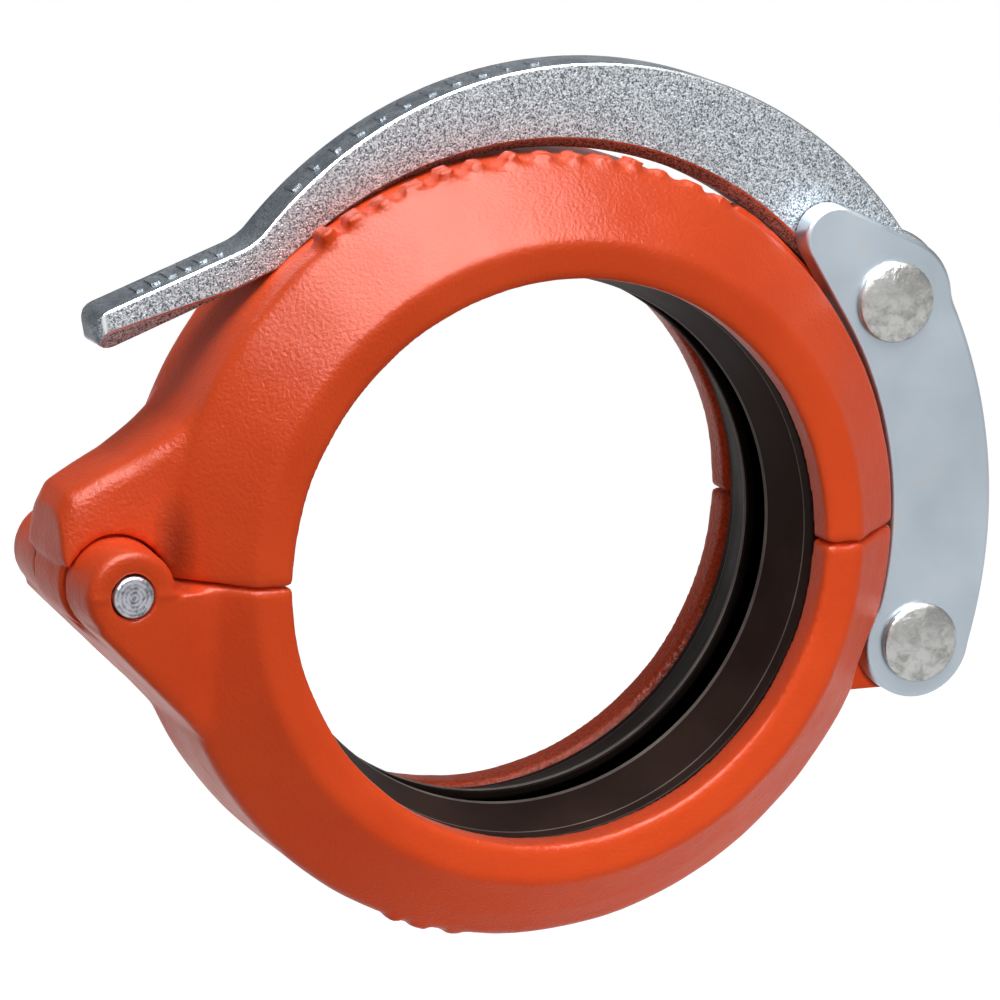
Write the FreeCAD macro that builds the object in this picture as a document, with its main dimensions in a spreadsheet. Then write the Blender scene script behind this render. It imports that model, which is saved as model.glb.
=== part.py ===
import FreeCAD
import Part
import Sketcher
import math
import os

# Hinged lever-locked coupling for grooved 4 inch pipe, closed.
# +X to the right, +Z up, the pipe runs along Y, and the front faces -Y.
# The origin is on the pipe axis, midway between the two faces.
# Lengths are in millimetres, angles in degrees from +X towards +Z.

SIZES = [
    ("boreRadius", 56.0, "keys that seat in the pipe groove"),
    ("overallWidth", 55.4, "face to face along the pipe"),
    ("keyWidth", 8.4, "each key along the pipe"),
    ("pocketDepth", 12.5, "gasket pocket behind the key bore"),
    ("pocketBevel", 2.5, "corner of the gasket pocket"),
    ("faceWidth", 7.0, "flat side face, from the key bore outwards"),
    ("wallDepth", 20.2, "outside of the ring behind the key bore"),
    ("rootDepth", 6.0, "how deep added features reach into the ring"),
    ("ringMerge", 0.8, "how far an outline dips below the ring surface"),
    ("partingGap", 0.25, "between the closed halves"),
    ("boreRound", 1.6, "edge between side face and key"),
    ("faceRound", 1.8, "edge between side face and shoulder"),
    ("shoulderRound", 3.0, "edge between shoulder and outside"),
    ("notchRound", 2.0, "key corners at the parting line"),
    ("hingeOut", 9.3, "hinge pin outside the ring"),
    ("hingeDrop", 1.0, "hinge pin below the pipe axis"),
    ("pinRadius", 4.2, "hinge pin"),
    ("pinProud", 0.4, "hinge pin end beyond the ear"),
    ("pressFit", 0.02, "radial play of a pin where it is held"),
    ("runningFit", 0.08, "radial play of a pin where a piece turns"),
    ("earRadius", 10.2, "hinge ears of the lower half"),
    ("earInset", 5.7, "outer faces of the ears behind the side faces"),
    ("earRound", 1.2, "edges of the hinge ears"),
    ("earFoot", -152.0, "where the arm of the ears meets the ring"),
    ("earWall", -155.0, "where it ends inside the ring"),
    ("knuckleRadius", 10.0, "knuckle of the upper half"),
    ("knuckleInset", 4.0, "knuckle behind the sides of the arm"),
    ("sideGap", 0.35, "between faces that slide past each other"),
    ("turnGap", 0.4, "around round ends that turn"),
    ("armInset", 2.5, "side of the hinge arm behind the end of the shoulder"),
    ("armRound", 2.5, "top edges of the hinge arm"),
    ("armSlope", 28.8, "top of the hinge arm"),
    ("armHeight", 16.6, "top corner of the hinge arm above the pin"),
    ("armEnd", 2.5, "bevel of that corner"),
    ("armTopLength", 16.0, "straight top of the hinge arm"),
    ("armBend", 36.0, "hollow between the arm and the ring"),
    ("armAngle", 150.3, "top of the arm round the pipe axis"),
    ("linkOut", 12.3, "both rivets outside the ring"),
    ("linkHalf", 10.7, "half width of a link plate"),
    ("linkEnd", 11.2, "round lower end of a link plate"),
    ("linkCorner", 12.0, "upper corner of a link plate round the rivet"),
    ("linkBlend", 9.0, "hollows beside the round ends"),
    ("linkThick", 5.2, "link plate"),
    ("linkRound", 0.7, "stamped edges of a link plate"),
    ("upperAngle", 29.9, "lever rivet round the pipe axis"),
    ("lowerAngle", -16.9, "link rivet round the pipe axis"),
    ("lobeDrop", 2.8, "lobe of a link plate nearer the pipe axis than the rivet"),
    ("lobeAngle", 42.1, "lobe round the pipe axis"),
    ("lobeRadius", 6.4, "lobe of a link plate"),
    ("rivetRadius", 4.5, "rivet shanks"),
    ("headRadius", 8.1, "rivet heads"),
    ("headHeight", 2.8, "rivet heads at the middle"),
    ("headRim", 1.1, "rivet heads at the rim"),
    ("leverHalf", 5.5, "half thickness of the lever"),
    ("leverRound", 1.2, "forged edges of the lever"),
    ("backDepth", 9.6, "outer edge of the lever outside the ring"),
    ("backShift", 13.4, "centre of the outer edge off the pipe axis"),
    ("backWay", 35.0, "direction of that centre"),
    ("throatDepth", 1.3, "inner edge of the lever outside the ring"),
    ("throatShift", 4.0, "centre of the inner edge off the pipe axis"),
    ("throatWay", 26.8, "direction of that centre"),
    ("bossRadius", 13.9, "end of the lever round its rivet"),
    ("bossBlend", 3.0, "hollow between the boss and the inner edge"),
    ("bendAngle", 141.1, "where the grip leaves the outer edge"),
    ("heelAngle", 134.9, "where the grip leaves the inner edge"),
    ("bendRound", 6.0, "hollow between the outer edge and the grip"),
    ("gripSlope", 20.8, "outer edge of the grip"),
    ("gripLength", 34.6, "outer edge of the grip"),
    ("palmSlope", 22.7, "underside of the grip"),
    ("palmLength", 38.6, "underside of the grip"),
    ("tipRound", 1.8, "outer corner of the tip"),
    ("palmRound", 4.5, "lower corner of the tip"),
    ("seatGap", 0.15, "between the lever and what it bears on"),
    ("seatSlope", 38.0, "ramp of the lever seat"),
    ("seatLength", 21.0, "ramp of the lever seat"),
    ("seatNose", 4.6, "end of the lever seat"),
    ("noseSlope", 108.0, "end of the lever seat"),
    ("seatFoot", 3.0, "underside of the lever seat above the pipe axis"),
    ("lugRadius", 10.6, "link lug of the lower half"),
    ("lugTurn", 80.0, "where the top of the lug leaves its round end"),
    ("lugTop", -6.0, "top of the lug where it meets the ring"),
    ("lugHigh", -8.0, "upper end of the lug inside the ring"),
    ("lugLow", -28.0, "lower end of the lug inside the ring"),
    ("reliefRadius", 17.2, "hollow in the ring behind the link rivet"),
    ("reliefDrop", 5.5, "that hollow below the link rivet"),
    ("reliefOut", 1.0, "that hollow outside the link rivet"),
    ("barWidth", 3.4, "cast bars round the ring"),
    ("barTaper", 0.7, "top of a cast bar against its foot"),
    ("barLength", 5.4, "cast bars along the pipe"),
    ("barInset", 5.9, "cast bars behind the end of the shoulder"),
    ("barHeight", 2.3, "cast bars above the ring"),
    ("barFrom", 62.0, "first cast bar"),
    ("barPitch", 5.2, "from one cast bar to the next"),
    ("barCount", 12, "cast bars on the upper half"),
    ("lowBarFrom", -115.0, "first cast bar of the lower half"),
    ("lowBarCount", 3, "cast bars on the lower half"),
    ("gasketGap", 0.3, "between gasket and housing"),
    ("landDepth", 1.4, "gasket beside the keys behind the key bore"),
    ("lipDepth", 0.3, "gasket lips behind the key bore"),
    ("lipSplit", 3.2, "half the opening between the lips"),
    ("lipTip", 0.8, "end of a lip"),
    ("landWidth", 5.95, "flat of the gasket beside each key"),
    ("lipThick", 2.4, "gasket lips"),
    ("gasketWall", 4.2, "gasket back"),
    ("gasketRound", 1.2, "gasket corners"),
]


class Term:
    # A size in two forms: its number for drawing, its sheet text for binding.
    def __init__(self, value, text):
        self.value = value
        self.text = text

    def __add__(self, other):
        return join(self, other, "+", self.value + number(other))

    def __radd__(self, other):
        return join(other, self, "+", number(other) + self.value)

    def __sub__(self, other):
        return join(self, other, "-", self.value - number(other))

    def __rsub__(self, other):
        return join(other, self, "-", number(other) - self.value)

    def __mul__(self, other):
        return join(self, other, "*", self.value * number(other))

    def __rmul__(self, other):
        return join(other, self, "*", number(other) * self.value)

    def __truediv__(self, other):
        return join(self, other, "/", self.value / number(other))

    def __rtruediv__(self, other):
        return join(other, self, "/", number(other) / self.value)

    def __neg__(self):
        return join(0, self, "-", -self.value)


def number(term):
    return term.value if isinstance(term, Term) else float(term)


def words(term):
    return term.text if isinstance(term, Term) else repr(float(term))


def join(left, right, sign, value):
    return Term(value, "(%s %s %s)" % (words(left), sign, words(right)))


def cosine(angle):
    return Term(math.cos(math.radians(number(angle))), "cos(%s * 1 deg)" % words(angle))


def sine(angle):
    return Term(math.sin(math.radians(number(angle))), "sin(%s * 1 deg)" % words(angle))


def root(term):
    return Term(math.sqrt(number(term)), "sqrt(%s)" % words(term))


def polar(centre, radius, angle):
    return (centre[0] + radius * cosine(angle), centre[1] + radius * sine(angle))


def outerTangent(first, firstRadius, second, secondRadius):
    # Touching points of the line that passes both circles on the right of the way across.
    offX = second[0] - first[0]
    offZ = second[1] - first[1]
    square = offX * offX + offZ * offZ
    lean = (firstRadius - secondRadius) / square
    flat = root(1 / square - lean * lean)
    normalX = lean * offX + flat * offZ
    normalZ = lean * offZ - flat * offX
    start = (first[0] + firstRadius * normalX, first[1] + firstRadius * normalZ)
    end = (second[0] + secondRadius * normalX, second[1] + secondRadius * normalZ)
    return start, end


def circlesMeet(first, firstRadius, second, secondRadius, sign):
    # Where two circles cross, left or right of the line between their centres.
    offX = second[0] - first[0]
    offZ = second[1] - first[1]
    square = offX * offX + offZ * offZ
    share = (firstRadius * firstRadius - secondRadius * secondRadius + square) / (2 * square)
    rise = sign * root(firstRadius * firstRadius / square - share * share)
    x = first[0] + share * offX - rise * offZ
    z = first[1] + share * offZ + rise * offX
    return (x, z)


def makeSheet(doc):
    sheet = doc.addObject("Spreadsheet::Sheet", "Sizes")
    row = 1
    for name, value, note in SIZES:
        sheet.set("A%d" % row, name)
        sheet.set("B%d" % row, str(value))
        sheet.set("C%d" % row, note)
        sheet.setAlias("B%d" % row, name)
        row += 1
    doc.recompute()
    return {name: Term(float(value), "Sizes." + name) for name, value, note in SIZES}


doc = FreeCAD.newDocument("coupling")
S = makeSheet(doc)
ORIGIN = (0, 0)


def newBody(name):
    body = doc.addObject("PartDesign::Body", name)
    body.Label = name
    return body


def originFeature(body, role):
    for feature in body.Origin.OriginFeatures:
        if feature.Role == role:
            return feature
    raise ValueError(role)


def newSketch(body, name, role, offset=None):
    sketch = body.newObject("Sketcher::SketchObject", name)
    sketch.AttachmentSupport = [(originFeature(body, role), "")]
    sketch.MapMode = "FlatFace"
    if offset is not None:
        sketch.setExpression("AttachmentOffset.Base.z", words(offset))
    return sketch


def frontSketch(body, name, offset=None):
    # Drawn as seen from the front: first coordinate X, second Z.
    return newSketch(body, name, "XZ_Plane", offset)


def halfSection(body, name):
    # Drawn in the plane of the axis: first coordinate radius, second Y.
    return newSketch(body, name, "XY_Plane")


def bind(sketch, kind, places, term):
    index = sketch.addConstraint(Sketcher.Constraint(kind, *places, number(term)))
    if isinstance(term, Term):
        sketch.setExpression("Constraints[%d]" % index, term.text)


def pinPoint(sketch, geometry, end, point):
    for kind, axis, value in (("DistanceX", -2, point[0]), ("DistanceY", -1, point[1])):
        if number(value) == 0:
            sketch.addConstraint(Sketcher.Constraint("PointOnObject", geometry, end, axis))
        else:
            bind(sketch, kind, (geometry, end), value)


def vector(point):
    return FreeCAD.Vector(number(point[0]), number(point[1]), 0)


def arcGeometry(start, end, radius, turn):
    # turn is +1 for an arc that runs anticlockwise from start to end.
    a, b = vector(start), vector(end)
    chord = b - a
    half = chord.Length / 2
    rise = math.sqrt(max(number(radius) ** 2 - half ** 2, 0))
    side = FreeCAD.Vector(-chord.y, chord.x, 0)
    side.normalize()
    large = abs(turn) == 2
    way = math.copysign(1, turn)
    centre = (a + b) * 0.5 + side * (rise * way * (-1 if large else 1))
    circle = Part.Circle(centre, FreeCAD.Vector(0, 0, 1), number(radius))
    first, last = (a, b) if way > 0 else (b, a)
    return Part.ArcOfCircle(circle, circle.parameter(first), circle.parameter(last))


def drawOutline(sketch, start, steps):
    # A closed outline. A step is (point,) for a line, or (point, radius, turn) for an arc
    # that turns left (+1) or right (-1), the long way round with +2 or -2.
    ends = []
    here = start
    for step in steps:
        there = step[0]
        if len(step) == 1:
            index = sketch.addGeometry(Part.LineSegment(vector(here), vector(there)), False)
            ends.append((index, 1, 2))
        else:
            index = sketch.addGeometry(arcGeometry(here, there, step[1], step[2]), False)
            ends.append((index, 1, 2) if step[2] > 0 else (index, 2, 1))
        here = there
    points = [start] + [step[0] for step in steps[:-1]]
    for place, (index, entry, leave) in enumerate(ends):
        before, unused, last = ends[place - 1]
        sketch.addConstraint(Sketcher.Constraint("Coincident", before, last, index, entry))
        pinPoint(sketch, index, entry, points[place])
        if len(steps[place]) > 1:
            bind(sketch, "Radius", (index,), steps[place][1])


def drawCircle(sketch, centre, radius):
    circle = Part.Circle(vector(centre), FreeCAD.Vector(0, 0, 1), number(radius))
    index = sketch.addGeometry(circle, False)
    pinPoint(sketch, index, 3, centre)
    bind(sketch, "Radius", (index,), radius)


def finishFeature(body, feature, sketch):
    feature.Profile = sketch
    sketch.Visibility = False
    body.Tip = feature
    doc.recompute()
    return feature


def revolve(body, kind, sketch):
    feature = body.newObject("PartDesign::" + kind, sketch.Name + kind)
    feature.Profile = sketch
    feature.ReferenceAxis = (sketch, ["V_Axis"])
    feature.Angle = 360
    return finishFeature(body, feature, sketch)


def pad(body, sketch, half):
    feature = body.newObject("PartDesign::Pad", sketch.Name + "Pad")
    feature.Profile = sketch
    feature.SideType = "Symmetric"
    feature.setExpression("Length", words(2 * half))
    return finishFeature(body, feature, sketch)


def padOneWay(body, sketch, length):
    feature = body.newObject("PartDesign::Pad", sketch.Name + "Pad")
    feature.Profile = sketch
    feature.setExpression("Length", words(length))
    return finishFeature(body, feature, sketch)


def pocket(body, sketch, half=None):
    # Cut to both sides of the middle plane, or right through.
    before = body.Shape.Volume
    feature = body.newObject("PartDesign::Pocket", sketch.Name + "Pocket")
    feature.Profile = sketch
    feature.SideType = "Symmetric"
    if half is None:
        feature.Type = "ThroughAll"
    else:
        feature.setExpression("Length", words(2 * half))
    finishFeature(body, feature, sketch)
    if body.Shape.Volume >= before:
        raise RuntimeError(sketch.Name + " cut nothing")
    return feature


def soften(body, name, radius, test):
    # Round the edges that the test accepts.
    base = body.Tip
    names = []
    for index, edge in enumerate(base.Shape.Edges, 1):
        if test(edge):
            names.append("Edge%d" % index)
    if not names:
        raise RuntimeError(name + " found no edge")
    feature = body.newObject("PartDesign::Fillet", name)
    feature.Base = (base, names)
    feature.setExpression("Radius", words(radius))
    body.Tip = feature
    doc.recompute()
    return feature


def isRing(edge, radius, offset):
    # A circle round the pipe axis at a radius and at a distance from the middle plane.
    curve = edge.Curve
    if curve.TypeId != "Part::GeomCircle":
        return False
    return near(curve.Radius, radius) and near(abs(curve.Center.y), offset)


def near(value, term):
    return abs(value - number(term)) < 0.01


def middle(edge):
    return edge.valueAt((edge.FirstParameter + edge.LastParameter) / 2)


# Places that more than one piece uses.
bore = S["boreRadius"]
face = bore + S["faceWidth"]
ring = bore + S["wallDepth"]
cavity = bore + S["pocketDepth"]
ringSkin = ring - S["ringMerge"]
ringRoot = ring - S["rootDepth"]
halfWidth = S["overallWidth"] / 2
keyInner = halfWidth - S["keyWidth"]
shoulderEnd = halfWidth - (ring - face)
earHalf = halfWidth - S["earInset"]
armHalf = shoulderEnd - S["armInset"]
knuckleHalf = armHalf - S["knuckleInset"]
parting = S["partingGap"] / 2
hinge = (-1 * (ring + S["hingeOut"]), -S["hingeDrop"])
hingeEndX = hinge[0] - S["knuckleRadius"]
linkCentre = ring + S["linkOut"]
leverPivot = polar(ORIGIN, linkCentre, S["upperAngle"])
linkPivot = polar(ORIGIN, linkCentre, S["lowerAngle"])
linkInner = S["leverHalf"] + S["sideGap"]
linkOuter = linkInner + S["linkThick"]
far = 3 * ring


def closed(sketch, points):
    # An outline of straight lines only.
    drawOutline(sketch, points[0], [(point,) for point in points[1:]] + [(points[0],)])


def ringBlank(body):
    # Side face, 45 degree shoulder and outside, bored to the key radius.
    sketch = halfSection(body, body.Name + "Section")
    closed(sketch, [
        (bore, -halfWidth),
        (face, -halfWidth),
        (ring, -shoulderEnd),
        (ring, shoulderEnd),
        (face, halfWidth),
        (bore, halfWidth),
    ])
    revolve(body, "Revolution", sketch)
    for radius, corner, offset in ((bore, "boreRound", halfWidth), (face, "faceRound", halfWidth),
                                   (ring, "shoulderRound", shoulderEnd)):
        soften(body, body.Name + corner, S[corner], lambda edge: isRing(edge, radius, offset))


def keepHalf(body, side):
    # Cut the other half away at the parting line.
    sketch = frontSketch(body, body.Name + "Parting")
    low = side * parting
    high = side * -1 * far
    closed(sketch, [(-far, low), (far, low), (far, high), (-far, high)])
    pocket(body, sketch)


def gasketPocket(body):
    sketch = halfSection(body, body.Name + "Cavity")
    inner = bore - S["boreRound"]
    flat = keyInner - S["pocketBevel"]
    waist = cavity - S["pocketBevel"]
    closed(sketch, [
        (inner, -keyInner),
        (waist, -keyInner),
        (cavity, -flat),
        (cavity, flat),
        (waist, keyInner),
        (inner, keyInner),
    ])
    revolve(body, "Groove", sketch)


def keyNotches(body, side):
    # The small V that both halves leave at the parting line of each key.
    low = side * parting
    high = side * (parting + S["notchRound"])
    wall = root(bore * bore - parting * parting)
    for hand in (1, -1):
        sketch = frontSketch(body, "%sNotch%d" % (body.Name, 2 + hand))
        inside = hand * (wall - S["notchRound"])
        behind = hand * (wall + S["notchRound"])
        drawOutline(sketch, (inside, low), [
            ((behind, low),),
            ((hand * wall, high), S["notchRound"], side * hand),
            ((inside, high),),
            ((inside, low),),
        ])
        pocket(body, sketch)


def castBars(body, first, count):
    # Plain raised bars on the front of the outside.
    sketch = frontSketch(body, body.Name + "Bar", shoulderEnd - S["barInset"])
    foot = polar(ORIGIN, ringRoot, first)
    head = polar(ORIGIN, ring + S["barHeight"], first)
    wide = S["barWidth"] / 2
    slim = wide * S["barTaper"]
    closed(sketch, [
        polar(foot, wide, first - 90),
        polar(head, slim, first - 90),
        polar(head, slim, first + 90),
        polar(foot, wide, first + 90),
    ])
    bar = padOneWay(body, sketch, S["barLength"])
    pattern = body.newObject("PartDesign::PolarPattern", body.Name + "Bars")
    pattern.Originals = [bar]
    pattern.Axis = (originFeature(body, "Y_Axis"), [""])
    pattern.Reversed = True
    pattern.setExpression("Angle", words(S["barPitch"] * (count - 1)))
    pattern.setExpression("Occurrences", words(count))
    body.Tip = pattern
    doc.recompute()


def hingeArm(body):
    # Arm that runs from the ring out over the hinge, wider at the ring.
    sketch = frontSketch(body, "Arm")
    top = (hingeEndX + S["armEnd"], hinge[1] + S["armHeight"])
    bend = polar(top, S["armTopLength"], S["armSlope"])
    neck = polar(ORIGIN, ringSkin, S["armAngle"])
    floor = parting + S["knuckleRadius"] / 2
    inner = root(ringRoot * ringRoot - floor * floor)
    drawOutline(sketch, top, [
        ((hingeEndX, top[1] - S["armEnd"]),),
        ((hingeEndX, floor),),
        ((-inner, floor),),
        (polar(ORIGIN, ringRoot, S["armAngle"]), ringRoot, -1),
        (neck,),
        (bend, S["armBend"], -1),
        (top,),
    ])
    pad(body, sketch, armHalf)
    for side in (1, -1):
        flank = newSketch(body, "Flank%d" % (2 + side), "XY_Plane")
        edge = -1 * ring
        closed(flank, [
            (hingeEndX, side * knuckleHalf),
            (edge, side * armHalf),
            (edge, side * 2 * armHalf),
            (hingeEndX - armHalf, side * 2 * armHalf),
            (hingeEndX - armHalf, side * knuckleHalf),
        ])
        pocket(body, flank)

    def onTop(edge):
        spot = middle(edge)
        high = spot.z > number(top[1]) - 0.1
        return high and spot.x < number(bend[0]) and abs(spot.y) > number(knuckleHalf) - 0.01
    soften(body, "ArmTopRound", S["armRound"], onTop)


def knuckle(body):
    # Round end of the arm between the ears.
    sketch = frontSketch(body, "Knuckle")
    rise = S["hingeDrop"] + parting
    kneeX = hinge[0] + root(S["knuckleRadius"] * S["knuckleRadius"] - rise * rise)
    web = hinge[1] + S["knuckleRadius"]
    below = (hinge[0], hinge[1] - S["knuckleRadius"])
    drawOutline(sketch, (hingeEndX, web), [
        ((hingeEndX, hinge[1]),),
        (below, S["knuckleRadius"], 1),
        ((kneeX, parting), S["knuckleRadius"], 1),
        ((-ringRoot, parting),),
        ((-ringRoot, web),),
        ((hingeEndX, web),),
    ])
    pad(body, sketch, knuckleHalf)


def leverSeat(body):
    # Saddle and ramp that the boss of the lever bears on, between the link plates.
    saddle = S["bossRadius"] + S["seatGap"]
    start = polar(leverPivot, saddle, S["seatSlope"] * -1 - 90)
    end = polar(start, S["seatLength"], -S["seatSlope"])
    nose = polar(end, S["seatNose"], -S["noseSlope"])
    foot = S["seatFoot"]
    sketch = frontSketch(body, "Seat")
    drawOutline(sketch, start, [
        (end,),
        (nose,),
        ((ringSkin, foot),),
        ((root(ringRoot * ringRoot - foot * foot), foot),),
        (polar(ORIGIN, ringRoot, S["upperAngle"]), ringRoot, 1),
        (start,),
    ])
    pad(body, sketch, S["leverHalf"])
    hollow = frontSketch(body, "Saddle")
    drawCircle(hollow, leverPivot, saddle)
    pocket(body, hollow, linkInner)


def pinHole(body, name, centre, radius):
    sketch = frontSketch(body, name)
    drawCircle(sketch, centre, radius)
    pocket(body, sketch)


def makeUpperHousing():
    body = newBody("upper_housing")
    ringBlank(body)
    keepHalf(body, 1)
    hingeArm(body)
    pinHole(body, "EarRoom", hinge, S["earRadius"] + S["turnGap"])
    knuckle(body)
    leverSeat(body)
    castBars(body, S["barFrom"], S["barCount"])
    gasketPocket(body)
    pinHole(body, "KnuckleHole", hinge, S["pinRadius"] + S["runningFit"])
    keyNotches(body, 1)
    return body


def hingeEars(body):
    # Two ears that carry the pin, on an arm that runs down to the ring.
    sketch = frontSketch(body, "Ears")
    low, foot = outerTangent(hinge, S["earRadius"], polar(ORIGIN, ringSkin, S["earFoot"]), 0)
    drawOutline(sketch, (hinge[0] + S["earRadius"], hinge[1]), [
        (low, S["earRadius"], 2),
        (foot,),
        (polar(ORIGIN, ringRoot, S["earWall"]),),
        ((-ringRoot, hinge[1]), ringRoot, -1),
        ((hinge[0] + S["earRadius"], hinge[1]),),
    ])
    pad(body, sketch, earHalf)
    soften(body, "EarRound", S["earRound"], isEarRim)


def isEarRim(edge):
    # The round edge of an ear's outer face.
    spot = middle(edge)
    outside = near(abs(spot.y), earHalf)
    return outside and spot.x < -number(ring) and edge.Curve.TypeId == "Part::GeomCircle"


def knuckleRoom(body):
    sketch = frontSketch(body, "KnuckleRoom")
    room = S["knuckleRadius"] + S["turnGap"]
    out = hinge[0] - 3 * room
    above = hinge[1] + room
    below = hinge[1] - 2 * room
    drawOutline(sketch, (hinge[0], above), [
        ((out, above),),
        ((out, below),),
        ((hinge[0], below),),
        ((hinge[0], hinge[1] - room),),
        ((hinge[0] + room, hinge[1]), room, 1),
        ((hinge[0], above), room, 1),
    ])
    pocket(body, sketch, knuckleHalf + S["sideGap"])


def linkLug(body):
    # Lug that the link rivet goes through, between the link plates.
    sketch = frontSketch(body, "Lug")
    under = linkPivot[1] - S["lugRadius"]
    drawOutline(sketch, (linkPivot[0], under), [
        (polar(linkPivot, S["lugRadius"], S["lugTurn"]), S["lugRadius"], 1),
        (polar(ORIGIN, ringSkin, S["lugTop"]),),
        (polar(ORIGIN, ringRoot, S["lugHigh"]),),
        (polar(ORIGIN, ringRoot, S["lugLow"]), ringRoot, -1),
        ((root(ringSkin * ringSkin - under * under), under),),
        ((linkPivot[0], under),),
    ])
    pad(body, sketch, S["leverHalf"])


def makeLowerHousing():
    body = newBody("lower_housing")
    ringBlank(body)
    keepHalf(body, -1)
    relief = (linkPivot[0] + S["reliefOut"], linkPivot[1] - S["reliefDrop"])
    pinHole(body, "Relief", relief, S["reliefRadius"])
    hingeEars(body)
    knuckleRoom(body)
    linkLug(body)
    castBars(body, S["lowBarFrom"], S["lowBarCount"])
    gasketPocket(body)
    pinHole(body, "EarHoles", hinge, S["pinRadius"] + S["pressFit"])
    pinHole(body, "LugHole", linkPivot, S["rivetRadius"] + S["runningFit"])
    keyNotches(body, -1)
    return body


def makeGasket():
    # C section: a back in the pocket and two lips that lean in towards the middle.
    body = newBody("gasket")
    sketch = halfSection(body, "GasketSection")
    back = cavity - S["gasketGap"]
    side = keyInner - S["gasketGap"]
    land = bore + S["landDepth"]
    lip = bore + S["lipDepth"]
    lipStart = side - S["landWidth"]
    bevel = S["pocketBevel"]
    inside = back - S["gasketWall"]
    lipRoot = lipStart - S["lipThick"] / 2
    right = [
        (back, side - bevel),
        (back - bevel, side),
        (land + S["gasketRound"], side),
        (land, side - S["gasketRound"]),
        (land, lipStart),
        (lip, S["lipSplit"]),
        (lip + S["lipTip"], S["lipSplit"] - S["lipTip"]),
        (land + S["lipThick"], lipRoot),
        (inside, lipRoot),
    ]
    left = [(radius, -offset) for radius, offset in reversed(right)]
    closed(sketch, right + left)
    revolve(body, "Revolution", sketch)
    return body


def placeAt(body, point):
    body.setExpression("Placement.Base.x", words(point[0]))
    body.setExpression("Placement.Base.z", words(point[1]))


def makeHingePin():
    body = newBody("hinge_pin")
    sketch = halfSection(body, "PinSection")
    shoulder = earHalf
    end = shoulder + S["pinProud"]
    rim = S["pinRadius"] - S["pinProud"]
    closed(sketch, [
        (0, -end),
        (rim, -end),
        (S["pinRadius"], -shoulder),
        (S["pinRadius"], shoulder),
        (rim, end),
        (0, end),
    ])
    revolve(body, "Revolution", sketch)
    placeAt(body, hinge)
    return body


def makeRivet(name, point):
    # Shank with a low domed head on both link plates.
    body = newBody(name)
    sketch = halfSection(body, name + "Section")
    rim = linkOuter + S["headRim"]
    crown = linkOuter + S["headHeight"]
    rise = S["headHeight"] - S["headRim"]
    dome = (S["headRadius"] * S["headRadius"] + rise * rise) / (2 * rise)
    drawOutline(sketch, (0, -crown), [
        ((S["headRadius"], -rim), dome, 1),
        ((S["headRadius"], -linkOuter),),
        ((S["rivetRadius"], -linkOuter),),
        ((S["rivetRadius"], linkOuter),),
        ((S["headRadius"], linkOuter),),
        ((S["headRadius"], rim),),
        ((0, crown), dome, 1),
        ((0, -crown),),
    ])
    revolve(body, "Revolution", sketch)
    placeAt(body, point)
    return body


def makeLink(name, side):
    # Curved plate with a round lower end, and a lobe beside the lever rivet.
    body = newBody(name)
    outer = linkCentre + S["linkHalf"]
    inner = linkCentre - S["linkHalf"]
    lobe = polar(ORIGIN, linkCentre - S["lobeDrop"], S["lobeAngle"])
    topCorner, topLobe = outerTangent(leverPivot, S["linkCorner"], lobe, S["lobeRadius"])
    lobeFoot, innerHigh = outerTangent(lobe, S["lobeRadius"], ORIGIN, -inner)
    outerHigh = circlesMeet(ORIGIN, outer, leverPivot, S["linkCorner"], -1)
    innerLow = circlesMeet(ORIGIN, inner, linkPivot, S["linkEnd"], 1)
    outerLow = circlesMeet(ORIGIN, outer, linkPivot, S["linkEnd"], 1)
    nearFace = linkInner if side > 0 else -linkOuter
    sketch = frontSketch(body, name + "Outline", nearFace)
    drawOutline(sketch, outerLow, [
        (outerHigh, outer, 1),
        (topCorner, S["linkCorner"], 1),
        (topLobe,),
        (lobeFoot, S["lobeRadius"], 1),
        (innerHigh,),
        (innerLow, inner, -1),
        (outerLow, S["linkEnd"], 2),
    ])
    padOneWay(body, sketch, S["linkThick"])
    corners = (outerHigh, innerLow, outerLow)
    soften(body, name + "Blend", S["linkBlend"], lambda edge: isUpright(edge, corners))
    soften(body, name + "Edge", S["linkRound"], isFlatEdge)
    for hole, centre in (("UpperHole", leverPivot), ("LowerHole", linkPivot)):
        pinHole(body, name + hole, centre, S["rivetRadius"] + S["pressFit"])
    return body


def isUpright(edge, corners):
    # An edge along the pipe that passes through one of these corners.
    spot = middle(edge)
    along = abs(edge.Vertexes[0].Y - edge.Vertexes[-1].Y) > 1
    return along and any(near(spot.x, x) and near(spot.z, z) for x, z in corners)


def isFlatEdge(edge):
    # An edge of a front or rear face.
    box = edge.BoundBox
    return box.YLength < 0.001


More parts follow.
